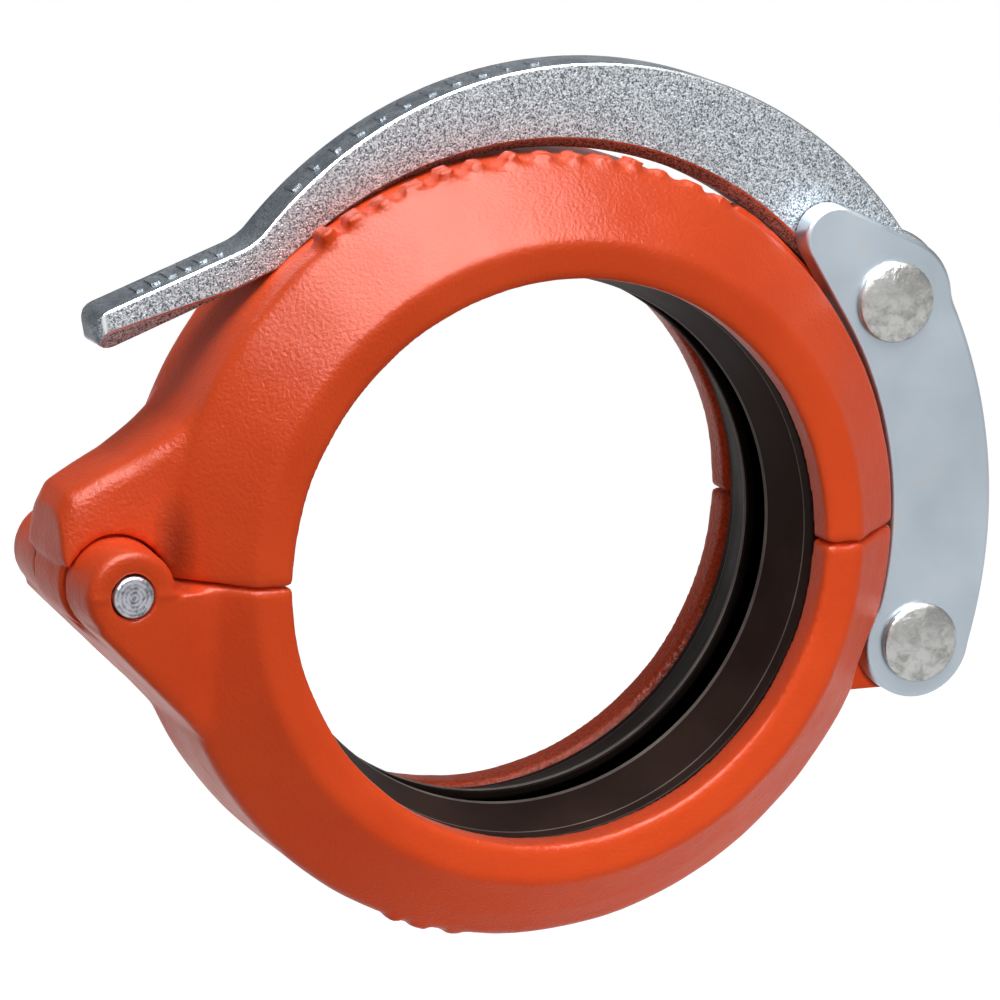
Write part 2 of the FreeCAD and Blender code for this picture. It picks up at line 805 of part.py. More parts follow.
def makeLever():
    # Curved bar with a boss at the rivet and a grip that bends away from the ring.
    body = newBody("locking_lever")
    back = polar(ORIGIN, S["backShift"], S["backWay"])
    throat = polar(ORIGIN, S["throatShift"], S["throatWay"])
    backRadius = ring + S["backDepth"]
    throatRadius = ring + S["throatDepth"]
    bossOuter = circlesMeet(back, backRadius, leverPivot, S["bossRadius"], -1)
    bossInner = circlesMeet(throat, throatRadius, leverPivot, S["bossRadius"], 1)
    bend = polar(back, backRadius, S["bendAngle"])
    heel = polar(throat, throatRadius, S["heelAngle"])
    tip = polar(bend, S["gripLength"], S["gripSlope"] + 180)
    palm = polar(heel, S["palmLength"], S["palmSlope"] + 180)
    sketch = frontSketch(body, "LeverOutline")
    drawOutline(sketch, bossOuter, [
        (bend, backRadius, 1),
        (tip,),
        (palm,),
        (heel,),
        (bossInner, throatRadius, -1),
        (bossOuter, S["bossRadius"], 2),
    ])
    pad(body, sketch, S["leverHalf"])
    for name, corner, radius in (("BendRound", bend, "bendRound"), ("TipRound", tip, "tipRound"),
                                 ("PalmRound", palm, "palmRound"), ("BossBlend", bossInner, "bossBlend")):
        soften(body, name, S[radius], lambda edge: isUpright(edge, [corner]))
    soften(body, "LeverEdge", S["leverRound"], isFlatEdge)
    pinHole(body, "LeverHole", leverPivot, S["rivetRadius"] + S["runningFit"])
    return body


def report(body):
    shape = body.Shape
    box = shape.BoundBox
    states = [item.Name for item in body.Group if "Invalid" in item.State or "Error" in item.State]
    if states or shape.isNull() or not shape.isValid() or len(shape.Solids) != 1:
        raise RuntimeError("%s is not sound: %s" % (body.Label, states))
    print("%-15s volume %9.1f  x %7.2f %7.2f  y %7.2f %7.2f  z %7.2f %7.2f" % (
        body.Label, shape.Volume, box.XMin, box.XMax, box.YMin, box.YMax, box.ZMin, box.ZMax))


PIECES = [
    makeUpperHousing(),
    makeLowerHousing(),
    makeGasket(),
    makeHingePin(),
    makeLever(),
    makeLink("front_link", 1),
    makeLink("rear_link", -1),
    makeRivet("lever_rivet", leverPivot),
    makeRivet("link_rivet", linkPivot),
]
doc.recompute()
os.makedirs("parts", exist_ok=True)
for piece in PIECES:
    report(piece)
    piece.Shape.exportStep("parts/%s.step" % piece.Label)
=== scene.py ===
import math
import random
import bmesh
import bpy
from mathutils import Matrix, Vector, noise


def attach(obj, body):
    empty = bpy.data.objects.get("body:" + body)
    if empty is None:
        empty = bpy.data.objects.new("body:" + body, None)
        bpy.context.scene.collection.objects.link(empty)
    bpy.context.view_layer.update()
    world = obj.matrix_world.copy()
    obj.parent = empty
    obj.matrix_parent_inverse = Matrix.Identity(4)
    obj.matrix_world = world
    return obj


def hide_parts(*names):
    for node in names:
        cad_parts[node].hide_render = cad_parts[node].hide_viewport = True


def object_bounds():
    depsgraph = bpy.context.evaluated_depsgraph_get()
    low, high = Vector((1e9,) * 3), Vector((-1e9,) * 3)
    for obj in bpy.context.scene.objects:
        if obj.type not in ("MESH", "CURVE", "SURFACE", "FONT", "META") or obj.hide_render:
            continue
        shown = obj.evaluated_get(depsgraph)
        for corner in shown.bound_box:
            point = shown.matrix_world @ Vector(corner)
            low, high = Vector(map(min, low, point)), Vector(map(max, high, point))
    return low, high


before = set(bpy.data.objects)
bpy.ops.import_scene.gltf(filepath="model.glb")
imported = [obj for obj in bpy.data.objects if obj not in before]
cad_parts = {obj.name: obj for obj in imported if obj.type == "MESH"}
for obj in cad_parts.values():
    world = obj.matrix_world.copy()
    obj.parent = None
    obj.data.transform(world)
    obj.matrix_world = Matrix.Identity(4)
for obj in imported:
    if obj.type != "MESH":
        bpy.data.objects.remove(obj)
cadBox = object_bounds()
scene = bpy.context.scene
mm = 0.001
random.seed(7)
print("frame loaded, nodes:", len(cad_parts))

# The pipe runs along Y through the origin. Sizes are in millimetres, angles in degrees;
# x and z are as seen from the front, and a flat point is (x, z).
coupling = {
    "bore": 55.6, "face": 63.0, "ring": 76.4, "cavity": 68.5, "cavityBevel": 2.5,
    "halfWidth": 27.7, "keyInner": 19.3, "parting": 0.14,
    "hinge": (-85.5, -1.0), "pin": 4.1, "ear": 9.5, "earHalf": 22.0, "rearEar": 3.4,
    "knuckle": 10.0, "knuckleHalf": 8.0, "knuckleClear": 0.4, "slotHalf": 8.35, "earRoom": 8.3, "clear": 0.25,
    # how far the slot for the knuckle goes out, down and up
    "slotReach": (-120, -22, 9.4),
    "linkCentre": 88.5, "leverRivet": 29.9, "linkRivet": -16.9,
    # half length of a cut that goes right through
    "through": 30,
}


# Shaping

def flatPolar(centre, radius, angle):
    turn = math.radians(angle)
    return (centre[0] + radius * math.cos(turn), centre[1] + radius * math.sin(turn))


def arcPoints(centre, radius, first, last, steps):
    return [flatPolar(centre, radius, first + (last - first) * i / steps) for i in range(steps + 1)]


def asMetres(bm):
    bmesh.ops.scale(bm, vec=(mm, mm, mm), verts=bm.verts)


def thicken(bm, along):
    # Draws a flat face out along the pipe into a plate.
    made = bmesh.ops.extrude_face_region(bm, geom=bm.faces[:])
    verts = [item for item in made["geom"] if isinstance(item, bmesh.types.BMVert)]
    bmesh.ops.translate(bm, vec=(0, along, 0), verts=verts)
    bmesh.ops.recalc_face_normals(bm, faces=bm.faces)


def prism(bm, points, half):
    # A plate with this outline, as far to the front as to the rear.
    bm.faces.new([bm.verts.new((x, -half, z)) for x, z in points])
    thicken(bm, 2 * half)


def disc(bm, centre, radius, low, high, steps=96):
    # A cylinder along the pipe.
    middle = Matrix.Translation((centre[0], (low + high) / 2, centre[1]))
    bmesh.ops.create_cone(bm, cap_ends=True, segments=steps, radius1=radius, radius2=radius,
                          depth=high - low, matrix=middle @ Matrix.Rotation(math.pi / 2, 4, "X"))


def roundEdges(bm, edges, offset, segments):
    bmesh.ops.bevel(bm, geom=edges, offset=offset, offset_type="OFFSET", affect="EDGES",
                    segments=segments, profile=0.5, material=-1, clamp_overlap=True)


def roundCorner(bm, places, offset):
    # Rounds the corners of a flat outline that lie at these places.
    near = [v for v in bm.verts if any((v.co - Vector(place)).length < 0.05 for place in places)]
    bmesh.ops.bevel(bm, geom=near, offset=offset, offset_type="OFFSET", affect="VERTICES",
                    segments=5, profile=0.5, material=-1)
    bmesh.ops.remove_doubles(bm, verts=bm.verts, dist=0.02)


def rimEdges(bm):
    # Edges between a face that looks along the pipe and one that does not.
    bm.normal_update()
    rims = []
    for edge in bm.edges:
        flat = [abs(face.normal.y) > 0.9 for face in edge.link_faces]
        if len(flat) == 2 and flat[0] != flat[1]:
            rims.append(edge)
    return rims


def roundDisc(bm, centre, radius, low, high, edge):
    disc(bm, centre, radius, low, high)
    roundEdges(bm, rimEdges(bm), edge, 5)


def makeObject(name, bm):
    bmesh.ops.recalc_face_normals(bm, faces=bm.faces)
    if bm.calc_volume(signed=True) < 0:
        bmesh.ops.reverse_faces(bm, faces=bm.faces)
    mesh = bpy.data.meshes.new(name)
    bm.to_mesh(mesh)
    bm.free()
    thing = bpy.data.objects.new(name, mesh)
    scene.collection.objects.link(thing)
    return thing


def settle(thing):
    # Applies the live modifiers.
    bpy.context.view_layer.update()
    ready = thing.evaluated_get(bpy.context.evaluated_depsgraph_get())
    mesh = bpy.data.meshes.new_from_object(ready)
    thing.modifiers.clear()
    thing.data = mesh


def combine(thing, how, fill, *sizes):
    # Joins or cuts with another shape, which fill draws in millimetres.
    bm = bmesh.new()
    fill(bm, *sizes)
    asMetres(bm)
    tool = makeObject("tool", bm)
    change = thing.modifiers.new(how, "BOOLEAN")
    change.operation = how
    change.solver = "EXACT"
    change.object = tool
    settle(thing)
    bpy.data.objects.remove(tool)


def smoothFaces(bm):
    for face in bm.faces:
        face.smooth = True


def finishPiece(name, bm, sharpAngle):
    # Smooth shading, with the sharp corners kept.
    asMetres(bm)
    smoothFaces(bm)
    piece = makeObject(name, bm)
    piece.data.set_sharp_from_angle(angle=math.radians(sharpAngle))
    return piece


def evenShade(thing):
    # Flat faces keep their own direction, so that only the rounded edges shade round.
    even = thing.modifiers.new("evenShade", "WEIGHTED_NORMAL")
    even.keep_sharp = True
    settle(thing)
    return thing


# Finishes

def linear(hexValue):
    parts = [int(hexValue[i:i + 2], 16) / 255 for i in (1, 3, 5)]
    return tuple(p / 12.92 if p <= 0.04045 else ((p + 0.055) / 1.055) ** 2.4 for p in parts) + (1.0,)


def addNode(tree, kind, values=None, links=None, **settings):
    # A link is a socket, or a node, which stands for its first output.
    node = tree.nodes.new("ShaderNode" + kind)
    for name, value in settings.items():
        setattr(node, name, value)
    for socket, value in (values or {}).items():
        node.inputs[socket].default_value = value
    for socket, source in (links or {}).items():
        output = source.outputs[0] if isinstance(source, bpy.types.Node) else source
        tree.links.new(output, node.inputs[socket])
    return node


def perMetre(sizeMm):
    # Noise scale whose grains are about this many millimetres across.
    return 1000 / sizeMm


def newMaterial(name):
    material = bpy.data.materials.new(name)
    material.use_nodes = True
    tree = material.node_tree
    tree.nodes.clear()
    place = addNode(tree, "TexCoord").outputs["Object"]
    return material, tree, place


enamel = {
    # the third colour serves both the sand grain showing through the coat and the painted shade in the valleys
    "bright": "#E65124", "deep": "#DD4A1F", "bareAndShade": "#742A13",
    "cloudMm": 30, "lumpMm": 5.0, "peelMm": 0.75, "gritMm": 0.7,
    "lumpDepth": 0.07, "peelDepth": 0.15, "gritDepth": 0.25,
    # thin coat on the rear key: radius and depth where it starts, and where it is full
    "keyBore": (59.5, 58.9), "keyDepth": (25.0, 23.5),
    # painted shade and sand grain in the valley beside each ear: middle of the hollow, at minus x, and its reach
    "valley": (75.6, 17.0, 6.0), "valleyReach": (4.6, 6.5, 14.0),
    # heights between which the sand grain comes through below
    "under": (-30, -65),
}


def orangeEnamel():
    # Alkyd enamel dipped over a sand casting: deep orange and glossy, with orange peel over soft lumps.
    # Inside the rear key the coat is thin and shows the sand grain, which comes through faintly at the bottom of the
    # ring too; the valley beside each ear shows the grain as well, and is darkened there with painted shade.
    material, tree, place = newMaterial("orangeEnamel")
    cloud, lump, peel, grit = [
        addNode(tree, "TexNoise", {"Scale": perMetre(enamel[size]), "Detail": detail}, {"Vector": place})
        for size, detail in (("cloudMm", 3), ("lumpMm", 2), ("peelMm", 2), ("gritMm", 3))]
    flat = addNode(tree, "VectorMath", {1: (1, 0, 1)}, {0: place}, operation="MULTIPLY")
    radius = addNode(tree, "VectorMath", links={0: flat}, operation="LENGTH").outputs["Value"]
    where = addNode(tree, "SeparateXYZ", links={0: place})
    across = where.outputs["Y"]
    start, full = enamel["keyDepth"]
    deep = addNode(tree, "MapRange", {"From Min": start * mm, "From Max": full * mm, "To Min": 0.35},
                   {"Value": across})
    rear = addNode(tree, "Math", {1: 0.0}, {0: across}, operation="GREATER_THAN")
    deep = addNode(tree, "Math", links={0: deep, 1: rear}, operation="MULTIPLY")
    start, full = enamel["keyBore"]
    bore = addNode(tree, "MapRange", {"From Min": start * mm, "From Max": full * mm}, {"Value": radius})
    inside = addNode(tree, "Math", links={0: deep, 1: bore}, operation="MULTIPLY")
    depth = addNode(tree, "Math", links={0: across}, operation="ABSOLUTE")
    spot = addNode(tree, "CombineXYZ", links={0: where.outputs["X"], 1: depth, 2: where.outputs["Z"]})
    x, y, z = enamel["valley"]
    away = addNode(tree, "VectorMath", {1: (-x * mm, y * mm, z * mm)}, {0: spot}, operation="SUBTRACT")
    reach = tuple(size * mm for size in enamel["valleyReach"])
    near = addNode(tree, "VectorMath", {1: reach}, {0: away}, operation="DIVIDE")
    near = addNode(tree, "VectorMath", links={0: near}, operation="LENGTH").outputs["Value"]
    # painted shade in the valley beside each ear; the same mask also adds the sand grain bump there
    valley = addNode(tree, "MapRange", {"From Min": 1.0, "From Max": 0.2, "To Max": 0.8}, {"Value": near})
    inside = addNode(tree, "Math", links={0: inside, 1: valley}, operation="MAXIMUM")
    even = addNode(tree, "MapRange", {"From Min": 0.35, "From Max": 0.65}, {"Value": cloud})
    coat = addNode(tree, "Mix", {6: linear(enamel["deep"]), 7: linear(enamel["bright"])},
                   {0: even}, data_type="RGBA").outputs[2]
    worn = addNode(tree, "MapRange", {"From Min": 0.42, "From Max": 0.62, "To Max": 0.45}, {"Value": grit})
    thinCoatAndShade = addNode(tree, "Math", links={0: worn, 1: inside}, operation="MULTIPLY")
    # the valley is mixed towards the dark colour as painted shade
    thinCoatAndShade = addNode(tree, "Math", links={0: thinCoatAndShade, 1: valley}, operation="MAXIMUM")
    colour = addNode(tree, "Mix", {7: linear(enamel["bareAndShade"])}, {0: thinCoatAndShade, 6: coat}, data_type="RGBA").outputs[2]
    soft = addNode(tree, "Bump", {"Distance": enamel["lumpDepth"] * mm}, {"Height": lump})
    skin = addNode(tree, "Bump", {"Distance": enamel["peelDepth"] * mm}, {"Height": peel, "Normal": soft})
    start, full = enamel["under"]
    under = addNode(tree, "MapRange", {"From Min": start * mm, "From Max": full * mm, "To Max": 0.3},
                    {"Value": where.outputs["Z"]})
    sandy = addNode(tree, "Math", links={0: inside, 1: under}, operation="MAXIMUM")
    sand = addNode(tree, "Bump", {"Distance": enamel["gritDepth"] * mm},
                   {"Height": grit, "Strength": sandy, "Normal": skin})
    gloss = addNode(tree, "MapRange", {"From Min": 0.3, "From Max": 0.7, "To Min": 0.30, "To Max": 0.38},
                    {"Value": lump})
    shader = addNode(tree, "BsdfPrincipled", {"IOR": 1.5, "Specular IOR Level": 0.09},
                     {"Base Color": colour, "Roughness": gloss, "Normal": sand})
    addNode(tree, "OutputMaterial", links={"Surface": shader})
    return material


rubber = {
    # line is the colour of the painted highlight lines, inner the colour of the painted shade on the rear lip
    "dark": "#291B18", "worn": "#35261F", "inner": "#0B0807", "line": "#9A928C",
    "cloudMm": 14, "grainMm": 0.5, "grainDepth": 0.015,
    # painted highlight lines: radius of the one at the tips, y and half width of the one at the lands
    "tipMm": 52.95, "landMm": 16.3, "highlightHalf": 0.16,
    # y where the painted shade on the rear lip starts, and where it is full
    "rear": (-6, 2),
}


def mouldedRubber():
    # Moulded EPDM: near black, slightly brown, satin, with a faint bloom; pale painted highlight lines run along the
    # lip tips and lands, and the rear lip is darkened with painted shade.
    material, tree, place = newMaterial("mouldedRubber")
    cloud, grain = [
        addNode(tree, "TexNoise", {"Scale": perMetre(rubber[size]), "Detail": detail}, {"Vector": place})
        for size, detail in (("cloudMm", 4), ("grainMm", 2))]
    bloom = addNode(tree, "MapRange", {"From Min": 0.35, "From Max": 0.7}, {"Value": cloud})
    body = addNode(tree, "Mix", {6: linear(rubber["dark"]), 7: linear(rubber["worn"])},
                   {0: bloom}, data_type="RGBA").outputs[2]
    flat = addNode(tree, "VectorMath", {1: (1, 0, 1)}, {0: place}, operation="MULTIPLY")
    radius = addNode(tree, "VectorMath", links={0: flat}, operation="LENGTH").outputs["Value"]
    across = addNode(tree, "SeparateXYZ", links={0: place}).outputs["Y"]
    depth = addNode(tree, "Math", links={0: across}, operation="ABSOLUTE")
    # pale painted highlight lines along the lip tips and the land edges
    tipHighlight = addNode(tree, "Math", {1: rubber["tipMm"] * mm}, {0: radius}, operation="LESS_THAN")
    landHighlight = addNode(tree, "Math", {1: rubber["landMm"] * mm, 2: rubber["highlightHalf"] * mm}, {0: depth},
                       operation="COMPARE")
    line = addNode(tree, "Math", links={0: tipHighlight, 1: landHighlight}, operation="MAXIMUM")
    faint = addNode(tree, "Math", links={0: line, 1: cloud}, operation="MULTIPLY")
    # painted shade: the rear lip is darkened towards near black
    start, full = rubber["rear"]
    inner = addNode(tree, "MapRange", {"From Min": start * mm, "From Max": full * mm, "To Max": 0.8},
                    {"Value": across})
    body = addNode(tree, "Mix", {7: linear(rubber["inner"])}, {0: inner, 6: body}, data_type="RGBA").outputs[2]
    colour = addNode(tree, "Mix", {7: linear(rubber["line"])}, {0: faint, 6: body}, data_type="RGBA").outputs[2]
    skin = addNode(tree, "Bump", {"Distance": rubber["grainDepth"] * mm}, {"Height": grain})
    gloss = addNode(tree, "MapRange", {"To Min": 0.46, "To Max": 0.58}, {"Value": bloom})
    shader = addNode(tree, "BsdfPrincipled", {"IOR": 1.52, "Specular IOR Level": 0.03},
                     {"Base Color": colour, "Roughness": gloss, "Normal": skin})
    addNode(tree, "OutputMaterial", links={"Surface": shader})
    return material


forging = {
    # scale is the colour of a painted dark reflection on the outer surface
    "pale": "#C6CBCF", "dark": "#4A5056", "edge": "#D6DADD", "scale": "#3F474F",
    "grainMm": 0.36, "pitMm": 0.9, "cloudMm": 5, "reliefMm": 0.16,
    # distances from the middle plane over which the rubbed edge comes, and goes again
    "edgeStart": (5.1, 5.25), "edgeEnd": (5.48, 5.38),
}


def blastedZinc():
    # Zinc plate on a shot blasted forging: grain of about a third of a millimetre sparkles on the sides,
    # the edges are rubbed smooth and bright, and the outer surface is darkened as a painted dark reflection.
    material, tree, place = newMaterial("blastedZinc")
    grain, pit, cloud = [
        addNode(tree, "TexNoise", {"Scale": perMetre(forging[size]), "Detail": detail, "Roughness": rough},
                {"Vector": place})
        for size, detail, rough in (("grainMm", 2, 0.6), ("pitMm", 2, 0.5), ("cloudMm", 3, 0.5))]
    across = addNode(tree, "SeparateXYZ", links={0: place}).outputs["Y"]
    depth = addNode(tree, "Math", links={0: across}, operation="ABSOLUTE")
    comes, goes = [addNode(tree, "MapRange", {"From Min": none * mm, "From Max": full * mm}, {"Value": depth})
                   for none, full in (forging["edgeStart"], forging["edgeEnd"])]
    edge = addNode(tree, "Math", links={0: comes, 1: goes}, operation="MULTIPLY")
    normal = addNode(tree, "TexCoord").outputs["Normal"]
    flat = addNode(tree, "VectorMath", {1: (1, 0, 1)}, {0: place}, operation="MULTIPLY")
    facing = addNode(tree, "VectorMath", links={0: flat, 1: normal}, operation="DOT_PRODUCT").outputs["Value"]
    # the outer surface, facing away from the pipe, gets a painted dark reflection and a smoother grain
    outer = addNode(tree, "MapRange", {"From Min": 0.03, "From Max": 0.06}, {"Value": facing})
    mixed = addNode(tree, "Math", {1: 0.3}, {0: pit, 2: grain}, operation="MULTIPLY_ADD")
    speck = addNode(tree, "MapRange", {"From Min": 0.50, "From Max": 0.80}, {"Value": mixed})
    side = addNode(tree, "Mix", {6: linear(forging["dark"]), 7: linear(forging["pale"])},
                   {0: speck}, data_type="RGBA").outputs[2]
    dull = addNode(tree, "MapRange", {"From Min": 0.3, "From Max": 0.7, "To Min": 0.6, "To Max": 0.9},
                   {"Value": cloud})
    much = addNode(tree, "Math", links={0: dull, 1: outer}, operation="MULTIPLY")
    body = addNode(tree, "Mix", {7: linear(forging["scale"])}, {0: much, 6: side}, data_type="RGBA").outputs[2]
    colour = addNode(tree, "Mix", {7: linear(forging["edge"])}, {0: edge, 6: body}, data_type="RGBA").outputs[2]
    calm = addNode(tree, "Math", {1: 0.6}, {0: outer}, operation="MULTIPLY")
    calmer = addNode(tree, "Math", links={0: calm, 1: edge}, operation="MAXIMUM")
    rough = addNode(tree, "MapRange", {"To Min": 1.0, "To Max": 0.08}, {"Value": calmer})
    skin = addNode(tree, "Bump", {"Distance": forging["reliefMm"] * mm}, {"Height": mixed, "Strength": rough})
    gloss = addNode(tree, "MapRange", {"To Min": 0.42, "To Max": 0.26}, {"Value": edge})
    shader = addNode(tree, "BsdfPrincipled", {"Metallic": 1.0},
                     {"Base Color": colour, "Roughness": gloss, "Normal": skin})
    addNode(tree, "OutputMaterial", links={"Surface": shader})
    return material


plate = {"pale": "#B0B9C2", "dark": "#A4AEB7", "stain": "#B2B1A6",
         "cloudMm": 18, "stainMm": 9, "grainMm": 0.7, "grainDepth": 0.02}


def satinZinc():
    # Bluish zinc plate on rolled steel: satin and even, with faint warm stains and a fine tooth.
    material, tree, place = newMaterial("satinZinc")
    cloud, spot, grain = [
        addNode(tree, "TexNoise", {"Scale": perMetre(plate[size]), "Detail": detail}, {"Vector": place})
        for size, detail in (("cloudMm", 3), ("stainMm", 4), ("grainMm", 3))]
    even = addNode(tree, "MapRange", {"From Min": 0.3, "From Max": 0.7}, {"Value": cloud})
    base = addNode(tree, "Mix", {6: linear(plate["dark"]), 7: linear(plate["pale"])},
                   {0: even}, data_type="RGBA").outputs[2]
    much = addNode(tree, "MapRange", {"From Min": 0.60, "From Max": 0.75, "To Max": 0.6}, {"Value": spot})
    colour = addNode(tree, "Mix", {7: linear(plate["stain"])}, {0: much, 6: base}, data_type="RGBA").outputs[2]
    skin = addNode(tree, "Bump", {"Distance": plate["grainDepth"] * mm}, {"Height": grain})
    gloss = addNode(tree, "MapRange", {"To Min": 0.34, "To Max": 0.42}, {"Value": even})
    shader = addNode(tree, "BsdfPrincipled", {"Metallic": 1.0},
                     {"Base Color": colour, "Roughness": gloss, "Normal": skin})
    addNode(tree, "OutputMaterial", links={"Surface": shader})
    return material


struck = {"pale": "#B5B6B4", "dark": "#8A8985", "mottleMm": 2.4, "reliefMm": 0.06}
peened = {"pale": "#AFB0B7", "dark": "#56585D", "mottleMm": 1.6, "reliefMm": 0.08}
hammered = {"grainMm": 0.7, "dent": 3, "ringMm": 0.8, "ringShare": 0.07, "wobbleMm": 0.9}


def hammeredZinc(name, finish, middle=None):
    # Zinc plate on a struck head: warm grey mottles, a little dull where the tool pressed.
    # Round a middle, spun peening leaves broken rings.
    material, tree, place = newMaterial(name)
    mottle = addNode(tree, "TexNoise", {"Scale": perMetre(finish["mottleMm"]), "Detail": 4.0, "Roughness": 0.65,
                                        "Distortion": 0.4}, {"Vector": place})
    grain = addNode(tree, "TexNoise", {"Scale": perMetre(hammered["grainMm"]), "Detail": 3.0}, {"Vector": place})
    if middle:
        away = addNode(tree, "VectorMath", {1: (middle[0] * mm, 0, middle[1] * mm)}, {0: place}, operation="SUBTRACT")
        flat = addNode(tree, "VectorMath", {1: (1, 0, 1)}, {0: away}, operation="MULTIPLY")
        radius = addNode(tree, "VectorMath", links={0: flat}, operation="LENGTH").outputs["Value"]
        wobble = addNode(tree, "Math", {1: hammered["wobbleMm"] * mm}, {0: mottle, 2: radius},
                         operation="MULTIPLY_ADD")
        phase = addNode(tree, "Math", {1: math.tau / (hammered["ringMm"] * mm)}, {0: wobble}, operation="MULTIPLY")
        wave = addNode(tree, "Math", links={0: phase}, operation="SINE")
        mottle = addNode(tree, "Math", {1: hammered["ringShare"]}, {0: wave, 2: mottle}, operation="MULTIPLY_ADD")
    even = addNode(tree, "MapRange", {"From Min": 0.34, "From Max": 0.60 if middle else 0.58}, {"Value": mottle})
    colour = addNode(tree, "Mix", {6: linear(finish["dark"]), 7: linear(finish["pale"])}, {0: even},
                     data_type="RGBA").outputs[2]
    dents = addNode(tree, "Bump", {"Distance": finish["reliefMm"] * hammered["dent"] * mm}, {"Height": mottle})
    skin = addNode(tree, "Bump", {"Distance": finish["reliefMm"] * mm}, {"Height": grain, "Normal": dents})
    gloss = addNode(tree, "MapRange", {"To Min": 0.44, "To Max": 0.30}, {"Value": even})
    shader = addNode(tree, "BsdfPrincipled", {"Metallic": 1.0},
                     {"Base Color": colour, "Roughness": gloss, "Normal": skin})
    addNode(tree, "OutputMaterial", links={"Surface": shader})
    return material


orange = orangeEnamel()
black = mouldedRubber()
leverZinc = blastedZinc()
plateZinc = satinZinc()
rivetZinc = hammeredZinc("rivetZinc", struck)
pinZinc = hammeredZinc("pinZinc", peened, coupling["hinge"])
for node, material in (("upper_housing", orange), ("lower_housing", orange), ("gasket", black),
                       ("hinge_pin", pinZinc), ("locking_lever", leverZinc), ("front_link", plateZinc),
                       ("rear_link", plateZinc), ("lever_rivet", rivetZinc), ("link_rivet", rivetZinc)):
    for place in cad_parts[node].material_slots:
        place.material = material
print("finishes made")


def takePlace(piece, body, node, material):
    piece.data.materials.clear()
    piece.data.materials.append(material)
    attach(piece, body)
    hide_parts(node)


# Housing halves

casting = {
    "boreRound": 1.2, "faceRound": 0.8, "shoulderRound": 1.6, "steps": 150,
    # one skin: voxels, passes of smoothing, and hollow corners filled by more passes
    "voxel": 0.75, "smoothing": 2, "hollowMm": 0.03, "spread": 3, "filleting": 14,
    # how far the skin stands out, and over how much
    "wave": 0.14, "waveMm": 11.0, "ripple": 0.03, "rippleMm": 3.5, "belly": 0.9, "bellyRise": 8,
    "seam": 0.45, "seamHalf": 1.3, "seamMm": 2.2, "flash": 0.5, "flashHalf": 0.9, "flashMm": 2.0,
    "earDraft": 0.8, "earRound": 1.6,
}


def sweptSection(bm, section, rounds, angle):
    # Rounds the corners of a section (radius, y) and turns it about the pipe axis.
    bm.faces.new([bm.verts.new((r, y, 0)) for r, y in section])
    for r, y, offset in rounds:
        roundCorner(bm, [(r, y, 0), (r, -y, 0)], offset)
    bmesh.ops.delete(bm, geom=bm.faces[:], context="FACES_ONLY")
    whole = abs(angle) > 6.28
    bmesh.ops.spin(bm, geom=bm.verts[:] + bm.edges[:], cent=(0, 0, 0), axis=(0, 1, 0), angle=angle,
                   steps=casting["steps"] * (2 if whole else 1), use_merge=whole, use_duplicate=False)
    bmesh.ops.remove_doubles(bm, verts=bm.verts, dist=0.001)


def bothWays(points):
    return points + [(r, -y) for r, y in reversed(points)]


def ringHalf(name, side):
    # Solid half ring, from the key bore out to the shoulders.
    c = coupling
    shoulder = c["halfWidth"] - (c["ring"] - c["face"])
    section = bothWays([(c["ring"], shoulder), (c["face"], c["halfWidth"]), (c["bore"], c["halfWidth"])])
    bm = bmesh.new()
    sweptSection(bm, section, [(c["bore"], c["halfWidth"], casting["boreRound"]),
                               (c["face"], c["halfWidth"], casting["faceRound"]),
                               (c["ring"], shoulder, casting["shoulderRound"])], -math.pi * side)
    bmesh.ops.bisect_plane(bm, geom=bm.verts[:] + bm.edges[:] + bm.faces[:], plane_co=(0, 0, side * c["parting"]),
                           plane_no=(0, 0, -side), clear_outer=True)
    bmesh.ops.holes_fill(bm, edges=[e for e in bm.edges if e.is_boundary], sides=0)
    asMetres(bm)
    return makeObject(name, bm)


def gasketRoom(bm):
    # The pocket for the gasket, between the keys, whose inner corners lean away.
    c = coupling
    flat = c["keyInner"] - c["cavityBevel"]
    section = bothWays([(c["bore"] - 4, c["keyInner"] + 3.2), (c["bore"] + 3, c["keyInner"]),
                        (c["cavity"] - c["cavityBevel"], c["keyInner"]), (c["cavity"], flat)])
    sweptSection(bm, section, [], 2 * math.pi)


def inPocket(spot):
    # In or close to the pocket of the gasket.
    return math.hypot(spot.x, spot.z) < coupling["cavity"] + 1 and abs(spot.y) < coupling["keyInner"] + 1


def hollowVerts(bm):
    # Corners that go in, where a casting has its fillets; the pocket, the bore and the hinge slot stay crisp.
    hollow = set()
    for vert in bm.verts:
        spot = vert.co / mm
        if inPocket(spot) or abs(spot.y) < coupling["knuckle"] or math.hypot(spot.x, spot.z) < coupling["face"]:
            continue
        around = [edge.other_vert(vert).co for edge in vert.link_edges]
        middle = sum(around, Vector()) / len(around)
        if (middle - vert.co).dot(vert.normal) > casting["hollowMm"] * mm:
            hollow.add(vert)
    for turn in range(casting["spread"]):
        hollow |= {edge.other_vert(vert) for vert in hollow for edge in vert.link_edges}
    return [vert for vert in bm.verts if vert in hollow]


def soften(bm, verts, times):
    for turn in range(times):
        bmesh.ops.smooth_vert(bm, verts=verts, factor=0.5, use_axis_x=True, use_axis_y=True, use_axis_z=True)
    bm.normal_update()


def castSkin(thing):
    # Turns joined shapes into one skin with the soft corners and the slight waves of a casting.
    skin = thing.modifiers.new("skin", "REMESH")
    skin.mode = "VOXEL"
    skin.voxel_size = casting["voxel"] * mm
    settle(thing)
    bm = bmesh.new()
    bm.from_mesh(thing.data)
    soften(bm, bm.verts, casting["smoothing"])
    soften(bm, hollowVerts(bm), casting["filleting"])
    for vert in bm.verts:
        vert.co += vert.normal * castWave(vert.co / mm) * mm
    smoothFaces(bm)
    bm.to_mesh(thing.data)
    bm.free()
    print(thing.name, "skin faces:", len(thing.data.polygons))
    return thing


